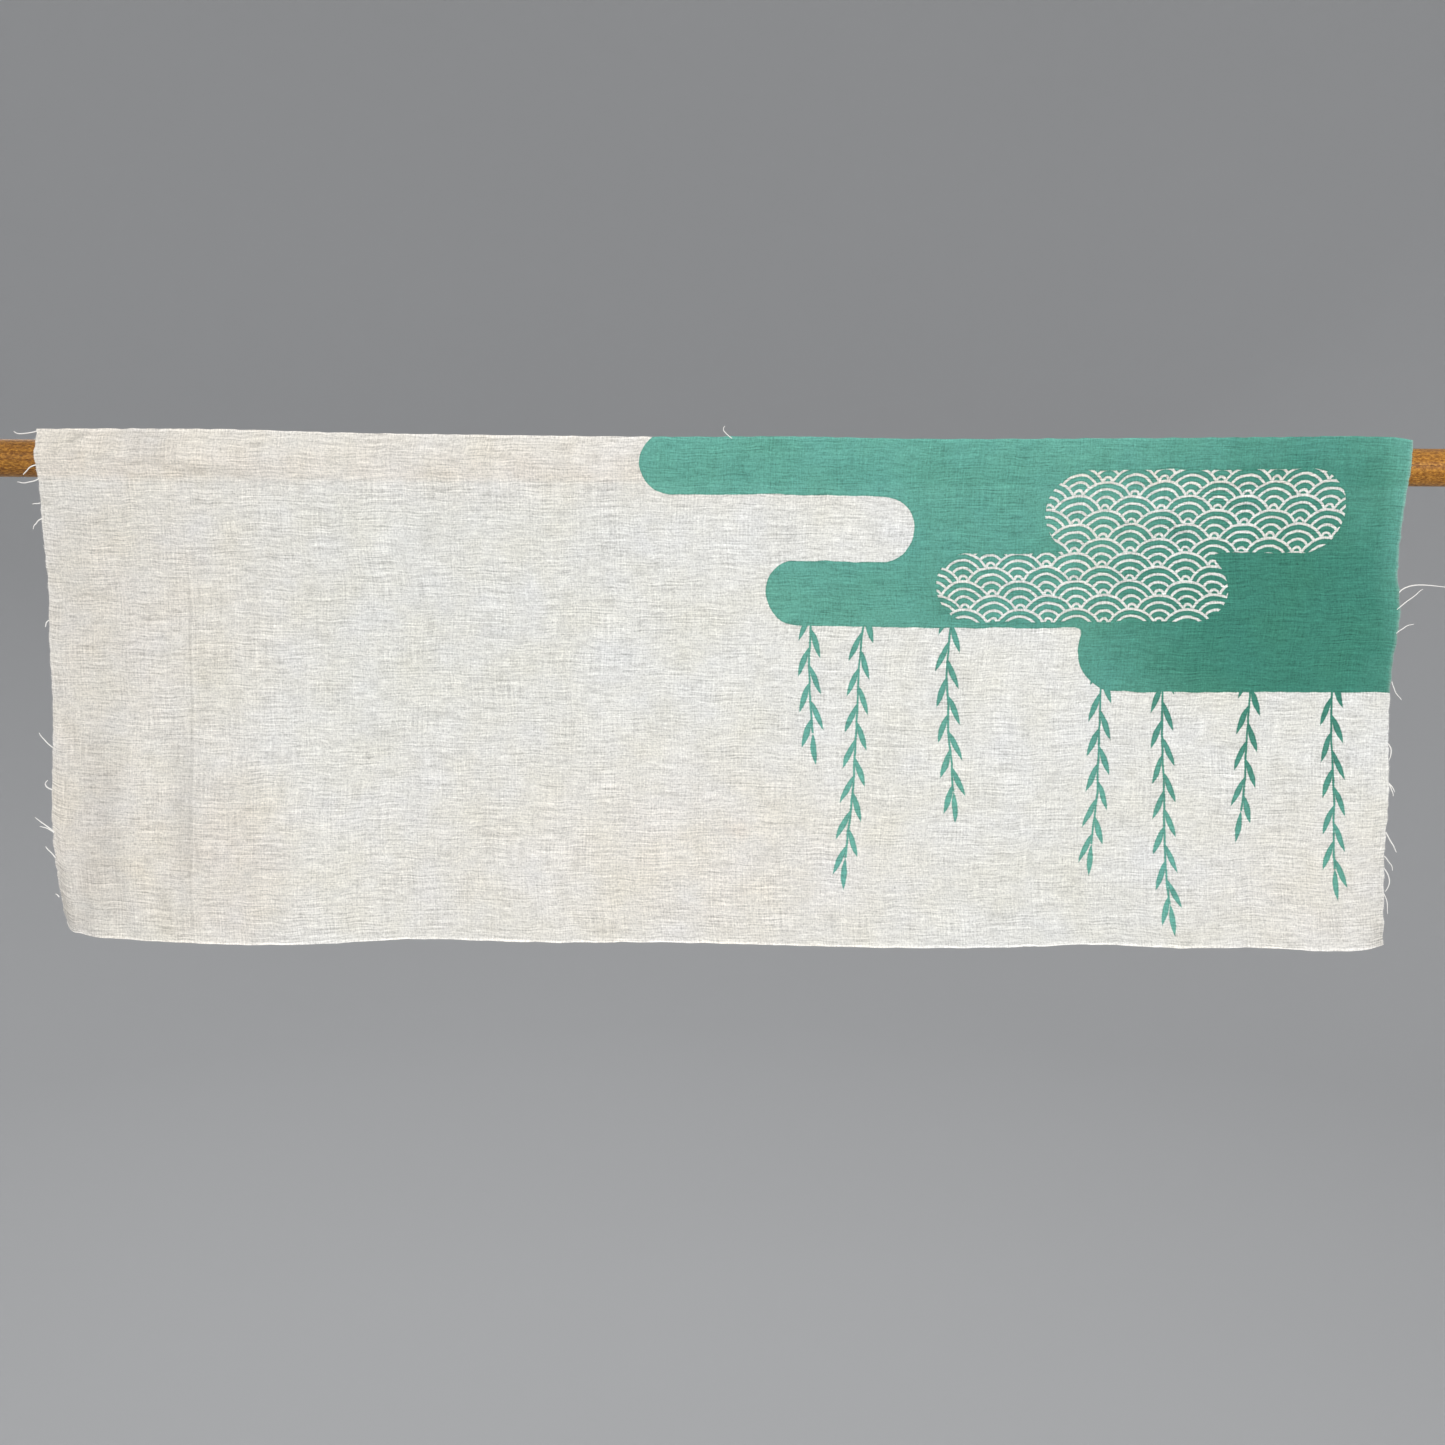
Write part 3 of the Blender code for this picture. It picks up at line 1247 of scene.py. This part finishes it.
@dataclass(frozen=True)
class WoodFinish:
    """Orange-brown fine-grained wood, oiled, with small flecks and short dark pores."""

    early: Colour = srgb(132, 80, 16)
    late: Colour = srgb(206, 144, 56)
    pore: Colour = srgb(84, 50, 12)
    roughness: float = 0.40
    specular: float = 0.42
    ring: float = 0.0031
    pith: tuple[float, float] = (0.031, 0.044)
    ring_sway: Grain = Grain(7.0, 30.0)
    ring_sway_depth: float = 0.006
    fibre: Grain = Grain(420.0, 950.0, roughness=0.7)
    streak: Grain = Grain(9.0, 320.0)
    pores: Grain = Grain(240.0, 2600.0, detail=0.0)
    growth_share: float = 0.35
    fibre_share: float = 3.2
    streak_share: float = 0.9
    early_share: float = -1.78
    pore_level: float = 0.64
    pore_growth: float = 0.06
    pore_sharpness: float = 14.0
    pore_depth: float = 0.75
    patch_size: float = 0.06
    patch_strength: float = 0.10
    lighter_to_right: float = 0.22
    fibre_height: float = 0.00004
    pore_height: float = -0.00006
    pore_roughness: float = 0.25
    relief: float = 0.7

    def build(self, groups: Groups) -> bpy.types.Material:
        """Build the wood's material.

        The rings are circles around a pith outside the rod. A ring's early wood turns into its
        late wood across it, mixed with the fibres' flecks and with long streaks.

        Args:
            groups: The shared node groups.

        Returns:
            The material.
        """
        graph, material, shader = principled("rod_wood", self.roughness, 0.0, self.specular)
        place = graph.add("TexCoord").outputs["Object"]
        x, y, z = graph.split(place)
        off_y = y - self.pith[0]
        off_z = z - self.pith[1]
        sway = self.ring_sway.read(graph, x, y, z) * self.ring_sway_depth
        radius = graph.math("SQRT", off_y * off_y + off_z * off_z) + sway
        growth = graph.math("FRACT", radius / self.ring)
        fibre = self.fibre.read(graph, x, y, z)
        streak = self.streak.read(graph, x, y, z)
        share = growth * self.growth_share + fibre * self.fibre_share + streak * self.streak_share
        base = graph.blend((share + self.early_share).clamped(), self.early, self.late)
        pores = self.pores.read(graph, x, y, z) - self.pore_level + (0.5 - growth) * self.pore_growth
        open_pore = (pores * self.pore_sharpness).clamped() * self.pore_depth
        coloured = graph.blend(open_pore, base, self.pore)
        patch_values = {"Size": self.patch_size, "Strength": self.patch_strength}
        patch = graph.call(groups.mottle, Place=place, **patch_values)["Tone"]
        tone = patch * (x * self.lighter_to_right + 1.0)
        graph.feed(shader.inputs["Base Color"], graph.toned(coloured, tone))
        graph.feed(shader.inputs["Roughness"], open_pore * self.pore_roughness + self.roughness)
        height = fibre * self.fibre_height + open_pore * self.pore_height
        bump = graph.add("Bump", {"Height": height, "Strength": self.relief, "Distance": 1.0})
        graph.feed(shader.inputs["Normal"], bump.outputs[0])
        return material


@dataclass(frozen=True)
class BackdropFinish:
    """Plain pale paint, matt, with a barely uneven tone."""

    colour: Colour = srgb(194, 195, 197)
    roughness: float = 0.95
    specular: float = 0.1
    patch_size: float = 1.4
    patch_strength: float = 0.01

    def build(self, groups: Groups) -> bpy.types.Material:
        """Build the backdrop's material.

        Args:
            groups: The shared node groups.

        Returns:
            The material.
        """
        graph, material, shader = principled("pale_backdrop", self.roughness, 0.0, self.specular)
        place = graph.add("TexCoord").outputs["Object"]
        patch_values = {"Size": self.patch_size, "Strength": self.patch_strength}
        tone = graph.call(groups.mottle, Place=place, **patch_values)["Tone"]
        graph.feed(shader.inputs["Base Color"], graph.toned(self.colour, tone))
        return material


# Sub-assemblies


@dataclass(frozen=True)
class Tint:
    """A soft oval on the hanging cloth's face, in metres, for stains, deeper dye and painted shade."""

    x: float
    z: float
    half_width: float
    half_height: float
    strength: float
    lean: float = 0.0

    def at(self, x: np.ndarray, z: np.ndarray) -> np.ndarray:
        """Return its strength, a bell of the distance measured in its own half sizes.

        Its middle line rises by lean for each metre to the right.

        Args:
            x: Places along the rod.
            z: Heights.

        Returns:
            The strength at each place.
        """
        above = z - self.z - self.lean * (x - self.x)
        far = np.hypot((x - self.x) / self.half_width, above / self.half_height)
        return self.strength * bell(far, 1.0)


# Warmer places: the left part, the lower part, the top edge and old faint stains
WARM_TINTS = (
    Tint(-0.480, -0.150, 0.250, 0.400, 0.42),
    Tint(-0.440, -0.270, 0.090, 0.130, 0.28),
    Tint(-0.340, -0.275, 0.080, 0.120, 0.32),
    Tint(0.000, -0.265, 0.170, 0.100, 0.20),
    Tint(0.010, -0.246, 0.012, 0.010, 0.30),
    Tint(0.420, -0.300, 0.170, 0.120, 0.30),
    Tint(-0.100, -0.010, 0.420, 0.030, 0.22),
    Tint(-0.370, -0.090, 0.160, 0.130, 0.16),
    Tint(-0.100, -0.285, 0.340, 0.150, 0.27),
    Tint(-0.325, -0.270, 0.045, 0.090, 0.12),
)
# Painted shade with some real grime: greyer places, painted lighter where below zero. The folded
# bands are partly grime and partly painted shade; the small creases, the pull lines near the rod
# and the soft shades are painted shade and light
GRIME_AND_SHADE_TINTS = (
    Tint(-0.4205, -0.2350, 0.0195, 0.0950, 0.130),
    Tint(-0.4210, -0.2900, 0.0240, 0.0450, 0.050),
    Tint(-0.3635, -0.2400, 0.0130, 0.0950, 0.125),
    Tint(-0.3800, -0.3030, 0.0080, 0.0180, 0.065),
    Tint(-0.3520, -0.0620, 0.0060, 0.0600, 0.020),
    Tint(-0.4330, -0.0800, 0.0160, 0.0800, 0.030),
    Tint(-0.3450, -0.0068, 0.0850, 0.0044, 0.115, -0.10),
    Tint(-0.3250, -0.0005, 0.0550, 0.0030, -0.040, -0.02),
    Tint(-0.4265, 0.0140, 0.0110, 0.0026, 0.230, 0.50),
    Tint(-0.4230, 0.0105, 0.0100, 0.0024, -0.070, 0.50),
    Tint(-0.4040, 0.0168, 0.0200, 0.0016, 0.120),
    Tint(-0.3775, 0.0138, 0.0170, 0.0022, 0.110, -0.25),
    Tint(-0.2770, 0.0110, 0.0028, 0.0024, 0.140),
    Tint(-0.2400, -0.0900, 0.4000, 0.1400, 0.032),
    Tint(-0.3250, -0.2600, 0.0400, 0.0900, 0.030),
    Tint(-0.0800, -0.2750, 0.3000, 0.0900, -0.016),
    Tint(0.2885, -0.1100, 0.0020, 0.0600, 0.035),
    Tint(-0.4700, -0.1200, 0.1700, 0.4000, 0.050),
    Tint(-0.2000, 0.0300, 0.6000, 0.1600, 0.028),
    Tint(-0.3940, -0.2300, 0.0150, 0.1000, -0.055),
)
# Places where the green is deeper, and lighter where below zero
DYE_TINTS = (
    Tint(0.395, -0.100, 0.190, 0.230, 0.95),
    Tint(0.250, -0.120, 0.260, 0.160, 0.35),
    Tint(0.378, -0.145, 0.014, 0.010, 0.30),
    Tint(0.452, -0.030, 0.022, 0.140, -0.45),
    Tint(0.100, -0.060, 0.300, 0.120, 0.22),
)


@dataclass
class TowelCloth:
    """The towel: a thin sheet with woven selvedges at top and bottom and raw cut ends."""

    hang: Hang
    columns: int = 400
    end_crowding: float = 0.55
    half_thickness: float = 0.0002
    selvedge_extra: float = 0.00018
    selvedge_reach: float = 0.0013
    top_glint: float = 1.0
    bottom_glint: float = 2.0
    rod_mark_fade: tuple[float, float] = (-0.0165, -0.0105)
    warm_over_rod: float = 0.36
    deep_over_rod: float = 0.15
    fray: float = 0.16
    fray_reach: float = 0.0012
    row_knots: tuple[float, ...] = (0.0, 0.0020, 0.0320, 0.3375, TOWEL_WIDTH)
    row_steps: tuple[int, ...] = (4, 27, 83, 5)
    sharp: float = math.radians(60)

    def row_shares(self) -> np.ndarray:
        """Return the rows' shares of the way down: close at both selvedges and over the rod.

        Returns:
            The shares, from 0 to 1.
        """
        spans = zip(self.row_knots, self.row_knots[1:], self.row_steps)
        parts = [np.linspace(low, high, count, endpoint=False) for low, high, count in spans]
        return np.append(np.concatenate(parts), TOWEL_WIDTH) / TOWEL_WIDTH

    def grid(self) -> tuple[np.ndarray, np.ndarray]:
        """Return the shares across and down of every point of one side.

        Columns are even, less end_crowding times a sine, so they stand closer near the two ends.

        Returns:
            The shares across and the shares down.
        """
        column = np.linspace(0, 1, self.columns + 1)
        across = column - self.end_crowding * np.sin(2 * math.pi * column) / (2 * math.pi)
        down, across = np.meshgrid(self.row_shares(), across, indexing="ij")
        return across, down

    def build(self, material: bpy.types.Material) -> bpy.types.Object:
        """Build the cloth as two sides and a rim around them.

        Each side is the middle surface moved along its normal by half the thickness, which is the
        cross product of the ways down and across. The rim joins the sides' outer points.

        Args:
            material: The cotton.

        Returns:
            The cloth.
        """
        across, down = self.grid()
        middle = self.hang.points(across, down)
        normal = np.cross(np.gradient(middle, axis=1), np.gradient(middle, axis=0))
        normal /= np.linalg.norm(normal, axis=2, keepdims=True)
        normal *= -np.sign(normal[..., 1:2])
        from_edge = np.minimum(down, 1 - down) * TOWEL_WIDTH
        selvedge = np.exp(-((from_edge / self.selvedge_reach) ** 2))
        half = (self.half_thickness + self.selvedge_extra * selvedge)[..., None]
        points = np.stack((middle + normal * half, middle - normal * half))
        rows, columns = across.shape
        front = grid_faces(rows, columns)
        back = front[:, ::-1] + rows * columns
        surface = Surface(
            points=points,
            faces=front.tolist() + back.tolist() + self._rim(rows, columns).tolist(),
            cloth=np.tile(np.stack((across * TOWEL_LENGTH, down * TOWEL_WIDTH), axis=-1), (2, 1, 1, 1)),
            marks=self._marks(middle, selvedge, np.minimum(across, 1 - across) * TOWEL_LENGTH),
        )
        return surface.build("towel_cloth", material, self.sharp)

    @staticmethod
    def _rim(rows: int, columns: int) -> np.ndarray:
        """Return the quads that join the two sides around their common outline.

        Args:
            rows: Rows of points on a side.
            columns: Points in a row.

        Returns:
            Four point numbers for each quad.
        """
        number = np.arange(rows * columns).reshape(rows, columns)
        loop = np.concatenate((number[0], number[1:, -1], number[-1, -2::-1], number[-2:0:-1, 0]))
        after = np.roll(loop, -1)
        behind = rows * columns
        return np.stack((loop, after, after + behind, loop + behind), axis=-1)

    def _marks(
        self, middle: np.ndarray, selvedge: np.ndarray, from_end: np.ndarray
    ) -> dict[str, np.ndarray]:
        """Return what the cotton reads on each point of both sides.

        Args:
            middle: The middle surface.
            selvedge: 1 at the selvedges and 0 away from them.
            from_end: Distance from the nearer raw end.

        Returns:
            Two sides' values by name.
        """
        x, z = middle[..., 0], middle[..., 2]
        over_rod = smooth_step(*self.rod_mark_fade, z)
        marks = {
            "warmth": sum(tint.at(x, z) for tint in WARM_TINTS) + self.warm_over_rod * over_rod,
            # Painted shade and light of the folds and creases, partly real grime
            "grime_and_shade": sum(tint.at(x, z) for tint in GRIME_AND_SHADE_TINTS),
            "dye_depth": sum(tint.at(x, z) for tint in DYE_TINTS) + self.deep_over_rod * over_rod,
            # Painted highlight along the selvedges, twice as strong at the bottom; the weave's cord also
            # grows with it
            "selvedge": selvedge * np.where(z < 0, self.bottom_glint, self.top_glint),
            "frayed": self.fray * np.exp(-((from_end / self.fray_reach) ** 2)),
        }
        return {name: np.tile(value, (2, 1, 1)) for name, value in marks.items()}


# Loose threads of the raw ends: root, middle and tip, each along the rod and up
LOOSE_THREADS = table(
    "root_x root_z middle_x middle_z tip_x tip_z",
    (-0.4521, 0.0180, -0.4637, 0.0156, -0.4703, 0.0169),
    (-0.4542, -0.0051, -0.4588, -0.0071, -0.4622, -0.0118),
    (-0.4525, -0.0138, -0.4590, -0.0163, -0.4671, -0.0165),
    (-0.4522, -0.0298, -0.4554, -0.0304, -0.4576, -0.0302),
    (-0.4516, -0.0401, -0.4553, -0.0425, -0.4573, -0.0469),
    (-0.4500, -0.1071, -0.4518, -0.1091, -0.4529, -0.1117),
    (-0.4505, -0.1929, -0.4554, -0.1888, -0.4598, -0.1826),
    (-0.4517, -0.2216, -0.4567, -0.2189, -0.4553, -0.2148),
    (-0.4523, -0.2503, -0.4585, -0.2454, -0.4648, -0.2406),
    (-0.4523, -0.2510, -0.4580, -0.2475, -0.4622, -0.2468),
    (-0.4523, -0.2681, -0.4552, -0.2641, -0.4585, -0.2603),
    (-0.4509, -0.2951, -0.4518, -0.2937, -0.4530, -0.2925),
    (0.4478, -0.0828, 0.4577, -0.0780, 0.4781, -0.0787),
    (0.4469, -0.0940, 0.4560, -0.0862, 0.4629, -0.0807),
    (0.4473, -0.1099, 0.4524, -0.1060, 0.4582, -0.1032),
    (0.4462, -0.1421, 0.4487, -0.1484, 0.4530, -0.1547),
    (0.4460, -0.1839, 0.4483, -0.1894, 0.4466, -0.1948),
    (0.4470, -0.2096, 0.4497, -0.2147, 0.4513, -0.2198),
    (0.4470, -0.2100, 0.4500, -0.2130, 0.4526, -0.2172),
    (0.4476, -0.2441, 0.4517, -0.2509, 0.4560, -0.2583),
    (0.4476, -0.2607, 0.4511, -0.2647, 0.4540, -0.2702),
    (0.4478, -0.2689, 0.4518, -0.2771, 0.4495, -0.2847),
    (0.4480, -0.2853, 0.4513, -0.2930, 0.4517, -0.3006),
    (0.0040, 0.0155, -0.0010, 0.0200, -0.0010, 0.0233),
)


# Angle above which an edge of a thread stays sharp
THREAD_SHARP = math.radians(80)


@dataclass
class LooseThreads:
    """Long threads that hang out of the raw ends and one at the top edge."""

    hang: Hang
    steps: int = 16
    sides: int = 6
    radius: float = 0.00042
    kink: float = 0.00035
    forward: float = 0.0012
    taper: float = 0.45
    undyed_place: tuple[float, float] = (0.10, 0.17)
    kink_turns: tuple[float, float] = (5.0, 12.0)
    forward_range: tuple[float, float] = (-1.0, 0.3)
    radius_range: tuple[float, float] = (0.75, 1.15)
    seed: int = 41

    def build(self, material: bpy.types.Material) -> bpy.types.Object:
        """Build the threads as tubes.

        A thread's line is a quadratic through its three places, plus a small kink in all
        directions that is zero at its root and grows with the root of the way along.

        Args:
            material: The cotton.

        Returns:
            The threads, as one piece.
        """
        rows = LOOSE_THREADS
        count = len(rows["root_x"])
        random = np.random.default_rng(self.seed)
        along = np.linspace(0, 1, self.steps)[None]
        root, middle, tip = (
            np.stack((rows[name + "_x"], rows[name + "_z"]), axis=-1)[:, None]
            for name in ("root", "middle", "tip")
        )
        share = along[..., None]
        lead = 2 * (share - 0.5) * (share - 1)
        crest = 4 * share * (1 - share)
        trail = 2 * share * (share - 0.5)
        flat = root * lead + middle * crest + tip * trail
        phase = random.uniform(0, 2 * math.pi, (3, count, 1))
        speed = random.uniform(*self.kink_turns, (3, count, 1))
        kinks = self.kink * np.sqrt(along) * np.sin(speed * along + phase) * along
        out = random.uniform(*self.forward_range, (count, 1))
        depth = self.hang.line(root[..., 1]) + self.forward * out * along
        paths = np.stack((flat[..., 0] + kinks[0], depth + kinks[1], flat[..., 1] + kinks[2]), axis=-1)
        thick = random.uniform(*self.radius_range, (count, 1))
        radii = self.radius * thick * (1 - self.taper * along ** 3)
        points, faces = tubes(paths, radii, self.sides)
        undyed = np.broadcast_to(self.undyed_place, points.shape[:-1] + (2,))
        # Every point is fully frayed, so the threads take the bare white: partly real bare yarn and partly
        # painted light against the shading of their round sides
        marks = {"frayed": np.ones(points.shape[:-1])}
        surface = Surface(points=points, faces=faces, cloth=undyed.copy(), marks=marks)
        return surface.build("loose_threads", material, THREAD_SHARP)


@dataclass
class RawEnd:
    """The short yarn ends that stand out of one cut end of the cloth."""

    hang: Hang
    side: Side
    count: int = 680
    steps: int = 4
    sides: int = 3
    radius: float = 0.00010
    shortest: float = 0.0002
    longest: float = 0.0014
    inside: float = 0.0006
    spread: float = 0.55
    short_bias: tuple[float, float] = (1.3, 3.5)
    place_range: tuple[float, float] = (0.2, 0.8)
    radius_range: tuple[float, float] = (0.7, 1.2)
    taper: float = 0.5
    colour_inset: float = 0.001
    bareness: float = 0.22
    seed: int = 50

    def build(self, material: bpy.types.Material) -> bpy.types.Object:
        """Build the yarn ends as short tubes.

        Each starts a little inside the cloth and runs outward, turned up or down and forward or
        back by random shares of spread that grow with the way along.

        Args:
            material: The cotton.

        Returns:
            The yarn ends, as one piece.
        """
        random = np.random.default_rng(self.seed + self.side.value)
        down = (np.arange(self.count) + random.uniform(*self.place_range, self.count)) / self.count
        across = np.full(self.count, 0.0 if self.side is Side.LEFT else 1.0)
        root = self.hang.points(across, down)
        reach = self.shortest + (self.longest - self.shortest) * random.beta(*self.short_bias, self.count)
        along = np.linspace(0, 1, self.steps)[None, :, None]
        outward = np.array((float(self.side.value), 0.0, 0.0))
        turn = random.uniform(-1, 1, (self.count, 1, 2)) * self.spread
        bent = np.concatenate((np.zeros((self.count, 1, 1)), turn), axis=2)
        length = reach[:, None, None]
        paths = root[:, None] - outward * self.inside + outward * (self.inside + length) * along
        paths = paths + bent * length * along ** 2
        thick = random.uniform(*self.radius_range, (self.count, 1))
        radii = self.radius * thick * (1 - self.taper * along[..., 0])
        points, faces = tubes(paths, radii, self.sides)
        edge = self.colour_inset if self.side is Side.LEFT else TOWEL_LENGTH - self.colour_inset
        place = np.stack((np.full(self.count, edge), down * TOWEL_WIDTH), axis=-1)
        cloth = np.broadcast_to(place[:, None, None], points.shape[:-1] + (2,))
        marks = {"frayed": np.full(points.shape[:-1], self.bareness)}
        surface = Surface(points=points, faces=faces, cloth=cloth.copy(), marks=marks)
        return surface.build(f"raw_end_{self.side.name.lower()}", material, THREAD_SHARP)


@dataclass
class Rod:
    """The turned wooden rod, barely uneven, with eased ends and flat sawn faces."""

    radius: float = 0.0125
    length: float = 1.10
    sides: int = 96
    sections: int = 120
    ease: float = 0.0008
    ease_points: int = 5
    face_rings: tuple[float, ...] = (0.0012, 0.005, 0.009)
    unevenness: float = 0.00004
    wear: float = 2.0
    swell_seed: int = 61
    swell_count: int = 12
    swell_lengths: tuple[float, float] = (0.06, 0.4)
    flats: int = 3
    flat_share: float = 0.5
    twist: float = 10.0
    sharp: float = math.radians(50)

    def build(self, material: bpy.types.Material) -> bpy.types.Object:
        """Build the rod from a profile turned around its axis.

        The profile runs from the middle of one end face out to its rim, around a quarter circle,
        along the rod and back in at the other end. Along the rod the radius changes by a few
        hundredths of a millimetre: slow swells, and three faint flats that twist along it.

        Args:
            material: The wood.

        Returns:
            The rod.
        """
        half = self.length / 2
        corner = np.linspace(0, math.pi / 2, self.ease_points)
        face_r = np.array(self.face_rings)
        start_x = np.concatenate((0 * face_r, self.ease * (1 - np.cos(corner)))) - half
        start_r = np.concatenate((face_r, self.radius - self.ease * (1 - np.sin(corner))))
        body_x = np.linspace(-half, half, self.sections + 2)[1:-1]
        x = np.concatenate((start_x, body_x, -start_x[::-1]))
        r = np.concatenate((start_r, np.full(self.sections, self.radius), start_r[::-1]))
        turn = np.arange(self.sides) * 2 * math.pi / self.sides
        swell = waves(self.swell_seed, self.swell_count, *self.swell_lengths, 0.0, x)[:, None]
        flats = self.flat_share * np.sin(self.flats * turn + self.twist * x[:, None])
        worn = self.unevenness * (swell + flats - self.wear)
        wide = r[:, None] + np.where(r >= face_r[-1], 1.0, 0.0)[:, None] * worn
        along = np.broadcast_to(x[:, None], wide.shape)
        points = np.stack((along, wide * np.cos(turn), wide * np.sin(turn)), axis=-1)
        walls = grid_faces(len(x), self.sides, closed=True)[:, ::-1]
        near = [list(range(self.sides))]
        far = [list(range((len(x) - 1) * self.sides, len(x) * self.sides))[::-1]]
        surface = Surface(points=points, faces=walls.tolist() + near + far)
        return surface.build("turned_rod", material, self.sharp)


@dataclass
class HangingTowel:
    """The whole object: the cloth with its threads, and the rod that it hangs from."""

    hang: Hang = field(default_factory=Hang)

    def build(self, groups: Groups) -> None:
        """Build and dress every piece, attach each to the root body, and hide the solid's towel and rod.

        Args:
            groups: The shared node groups.
        """
        cotton = CottonFinish().build(groups)
        wood = WoodFinish().build(groups)
        rod = Rod(radius=self.hang.rod_radius).build(wood)
        cloth = TowelCloth(self.hang).build(cotton)
        threads = [
            LooseThreads(self.hang).build(cotton),
            RawEnd(self.hang, Side.LEFT).build(cotton),
            RawEnd(self.hang, Side.RIGHT).build(cotton),
        ]
        for piece in (cloth, *threads):
            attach(piece, "root")
        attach(rod, "root")
        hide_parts("towel")
        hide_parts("rod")


@dataclass
class Stage:
    """A wide pale bowl, so that floor and backdrop look plain from all sides."""

    floor: float = -1.20
    middle: tuple[float, ...] = (0.01, 1.5)
    bend_start: float = 2.6
    bend: float = 1.8
    bend_points: int = 12
    rim_out: tuple[float, ...] = (4.5, 4.6)
    rim_up: tuple[float, ...] = (3.2, 5.0)
    sides: int = 96
    sharp: float = math.radians(80)

    def build(self, groups: Groups) -> bpy.types.Object:
        """Build the bowl: a flat floor that curves up, in a quarter circle, into a far wall.

        Args:
            groups: The shared node groups.

        Returns:
            The bowl.
        """
        turn = np.linspace(0, math.pi / 2, self.bend_points)
        out = self.bend_start + self.bend * np.sin(turn)
        up = self.bend * (1 - np.cos(turn))
        radius = np.concatenate((self.middle, out, self.rim_out))
        height = np.concatenate((np.zeros(len(self.middle)), up, self.rim_up)) + self.floor
        around = np.arange(self.sides) * 2 * math.pi / self.sides
        wide = radius[:, None] * np.ones(self.sides)
        level = height[:, None] * np.ones(self.sides)
        points = np.stack((wide * np.cos(around), wide * np.sin(around), level), axis=-1)
        faces = grid_faces(len(radius), self.sides, closed=True).tolist()
        faces.append(list(range(self.sides)))
        paint = BackdropFinish().build(groups)
        bowl = Surface(points=points, faces=faces).build("pale_bowl", paint, self.sharp)
        return bowl


@dataclass(frozen=True)
class AreaLight:
    """A soft rectangular lamp aimed at a place."""

    name: str
    place: tuple[float, float, float]
    aim: tuple[float, float, float]
    width: float
    height: float
    power: float
    colour: Colour = (1.0, 1.0, 1.0)

    def build(self) -> bpy.types.Object:
        """Build the lamp, which the camera doesn't see.

        Returns:
            The lamp.
        """
        lamp = bpy.data.lights.new(self.name, "AREA")
        lamp.shape = "RECTANGLE"
        lamp.size = self.width
        lamp.size_y = self.height
        lamp.energy = self.power
        lamp.color = self.colour
        obj = bpy.data.objects.new(self.name, lamp)
        obj.location = self.place
        way = Vector(self.aim) - Vector(self.place)
        obj.rotation_euler = way.to_track_quat("-Z", "Y").to_euler()
        obj.visible_camera = False
        bpy.context.scene.collection.objects.link(obj)
        return obj


@dataclass(frozen=True)
class Lighting:
    """Soft studio light: a wide lamp before the cloth, a weaker one aside, and a pale sky."""

    lamps: tuple[AreaLight, ...] = (
        AreaLight("front_lamp", (0.20, -2.4, 0.4), (0.0, 0.0, -0.15), 2.6, 1.6, 49.0),
        AreaLight("top_lamp", (0.10, -0.8, 2.4), (0.0, 0.0, -0.05), 1.8, 1.0, 6.0),
        AreaLight("back_lamp", (-0.6, 2.6, 1.8), (0.0, 0.0, -0.15), 2.4, 1.4, 28.0),
    )
    sky: Colour = srgb(240, 240, 239)
    sky_strength: float = 0.64

    def build(self) -> None:
        """Build the lamps and the sky."""
        for lamp in self.lamps:
            lamp.build()
        world = bpy.data.worlds.new("pale_sky")
        world.use_nodes = True
        background = world.node_tree.nodes["Background"]
        background.inputs["Color"].default_value = (*self.sky, 1.0)
        background.inputs["Strength"].default_value = self.sky_strength
        bpy.context.scene.world = world
        bpy.context.scene.view_settings.view_transform = "Standard"


@dataclass(frozen=True)
class PhotoCamera:
    """The photo's camera: its place, its slight pitch down and its small turn about its own line."""

    place: tuple[float, float, float] = (-0.001, -1.0576, -0.0537)
    pitch: float = math.radians(6.5)
    turn: float = math.radians(0.39)
    lens: float = 39.04
    sensor: float = 36.0
    nearest: float = 0.05
    farthest: float = 20.0

    def build(self) -> bpy.types.Object:
        """Build the camera, with its right and up axes turned together about its line of sight.

        Returns:
            The camera.
        """
        forward = Vector((0.0, math.cos(self.pitch), -math.sin(self.pitch)))
        level = Vector((1.0, 0.0, 0.0))
        upright = level.cross(forward)
        right = level * math.cos(self.turn) + upright * math.sin(self.turn)
        up = upright * math.cos(self.turn) - level * math.sin(self.turn)
        data = bpy.data.cameras.new("photo_camera")
        data.lens = self.lens
        data.sensor_width = self.sensor
        data.clip_start = self.nearest
        data.clip_end = self.farthest
        camera = bpy.data.objects.new("photo_camera", data)
        axes = Matrix((right, up, -forward)).transposed().to_4x4()
        camera.matrix_world = Matrix.Translation(self.place) @ axes
        bpy.context.scene.collection.objects.link(camera)
        bpy.context.scene.camera = camera
        return camera


def main() -> None:
    """Build the object, its stage, its light and its camera."""
    logging.basicConfig(level=logging.INFO, format="%(name)s: %(message)s")
    groups = Groups.build()
    HangingTowel().build(groups)
    Stage().build(groups)
    Lighting().build()
    PhotoCamera().build()
    bpy.context.view_layer.update()


if __name__ == "__main__":
    main()
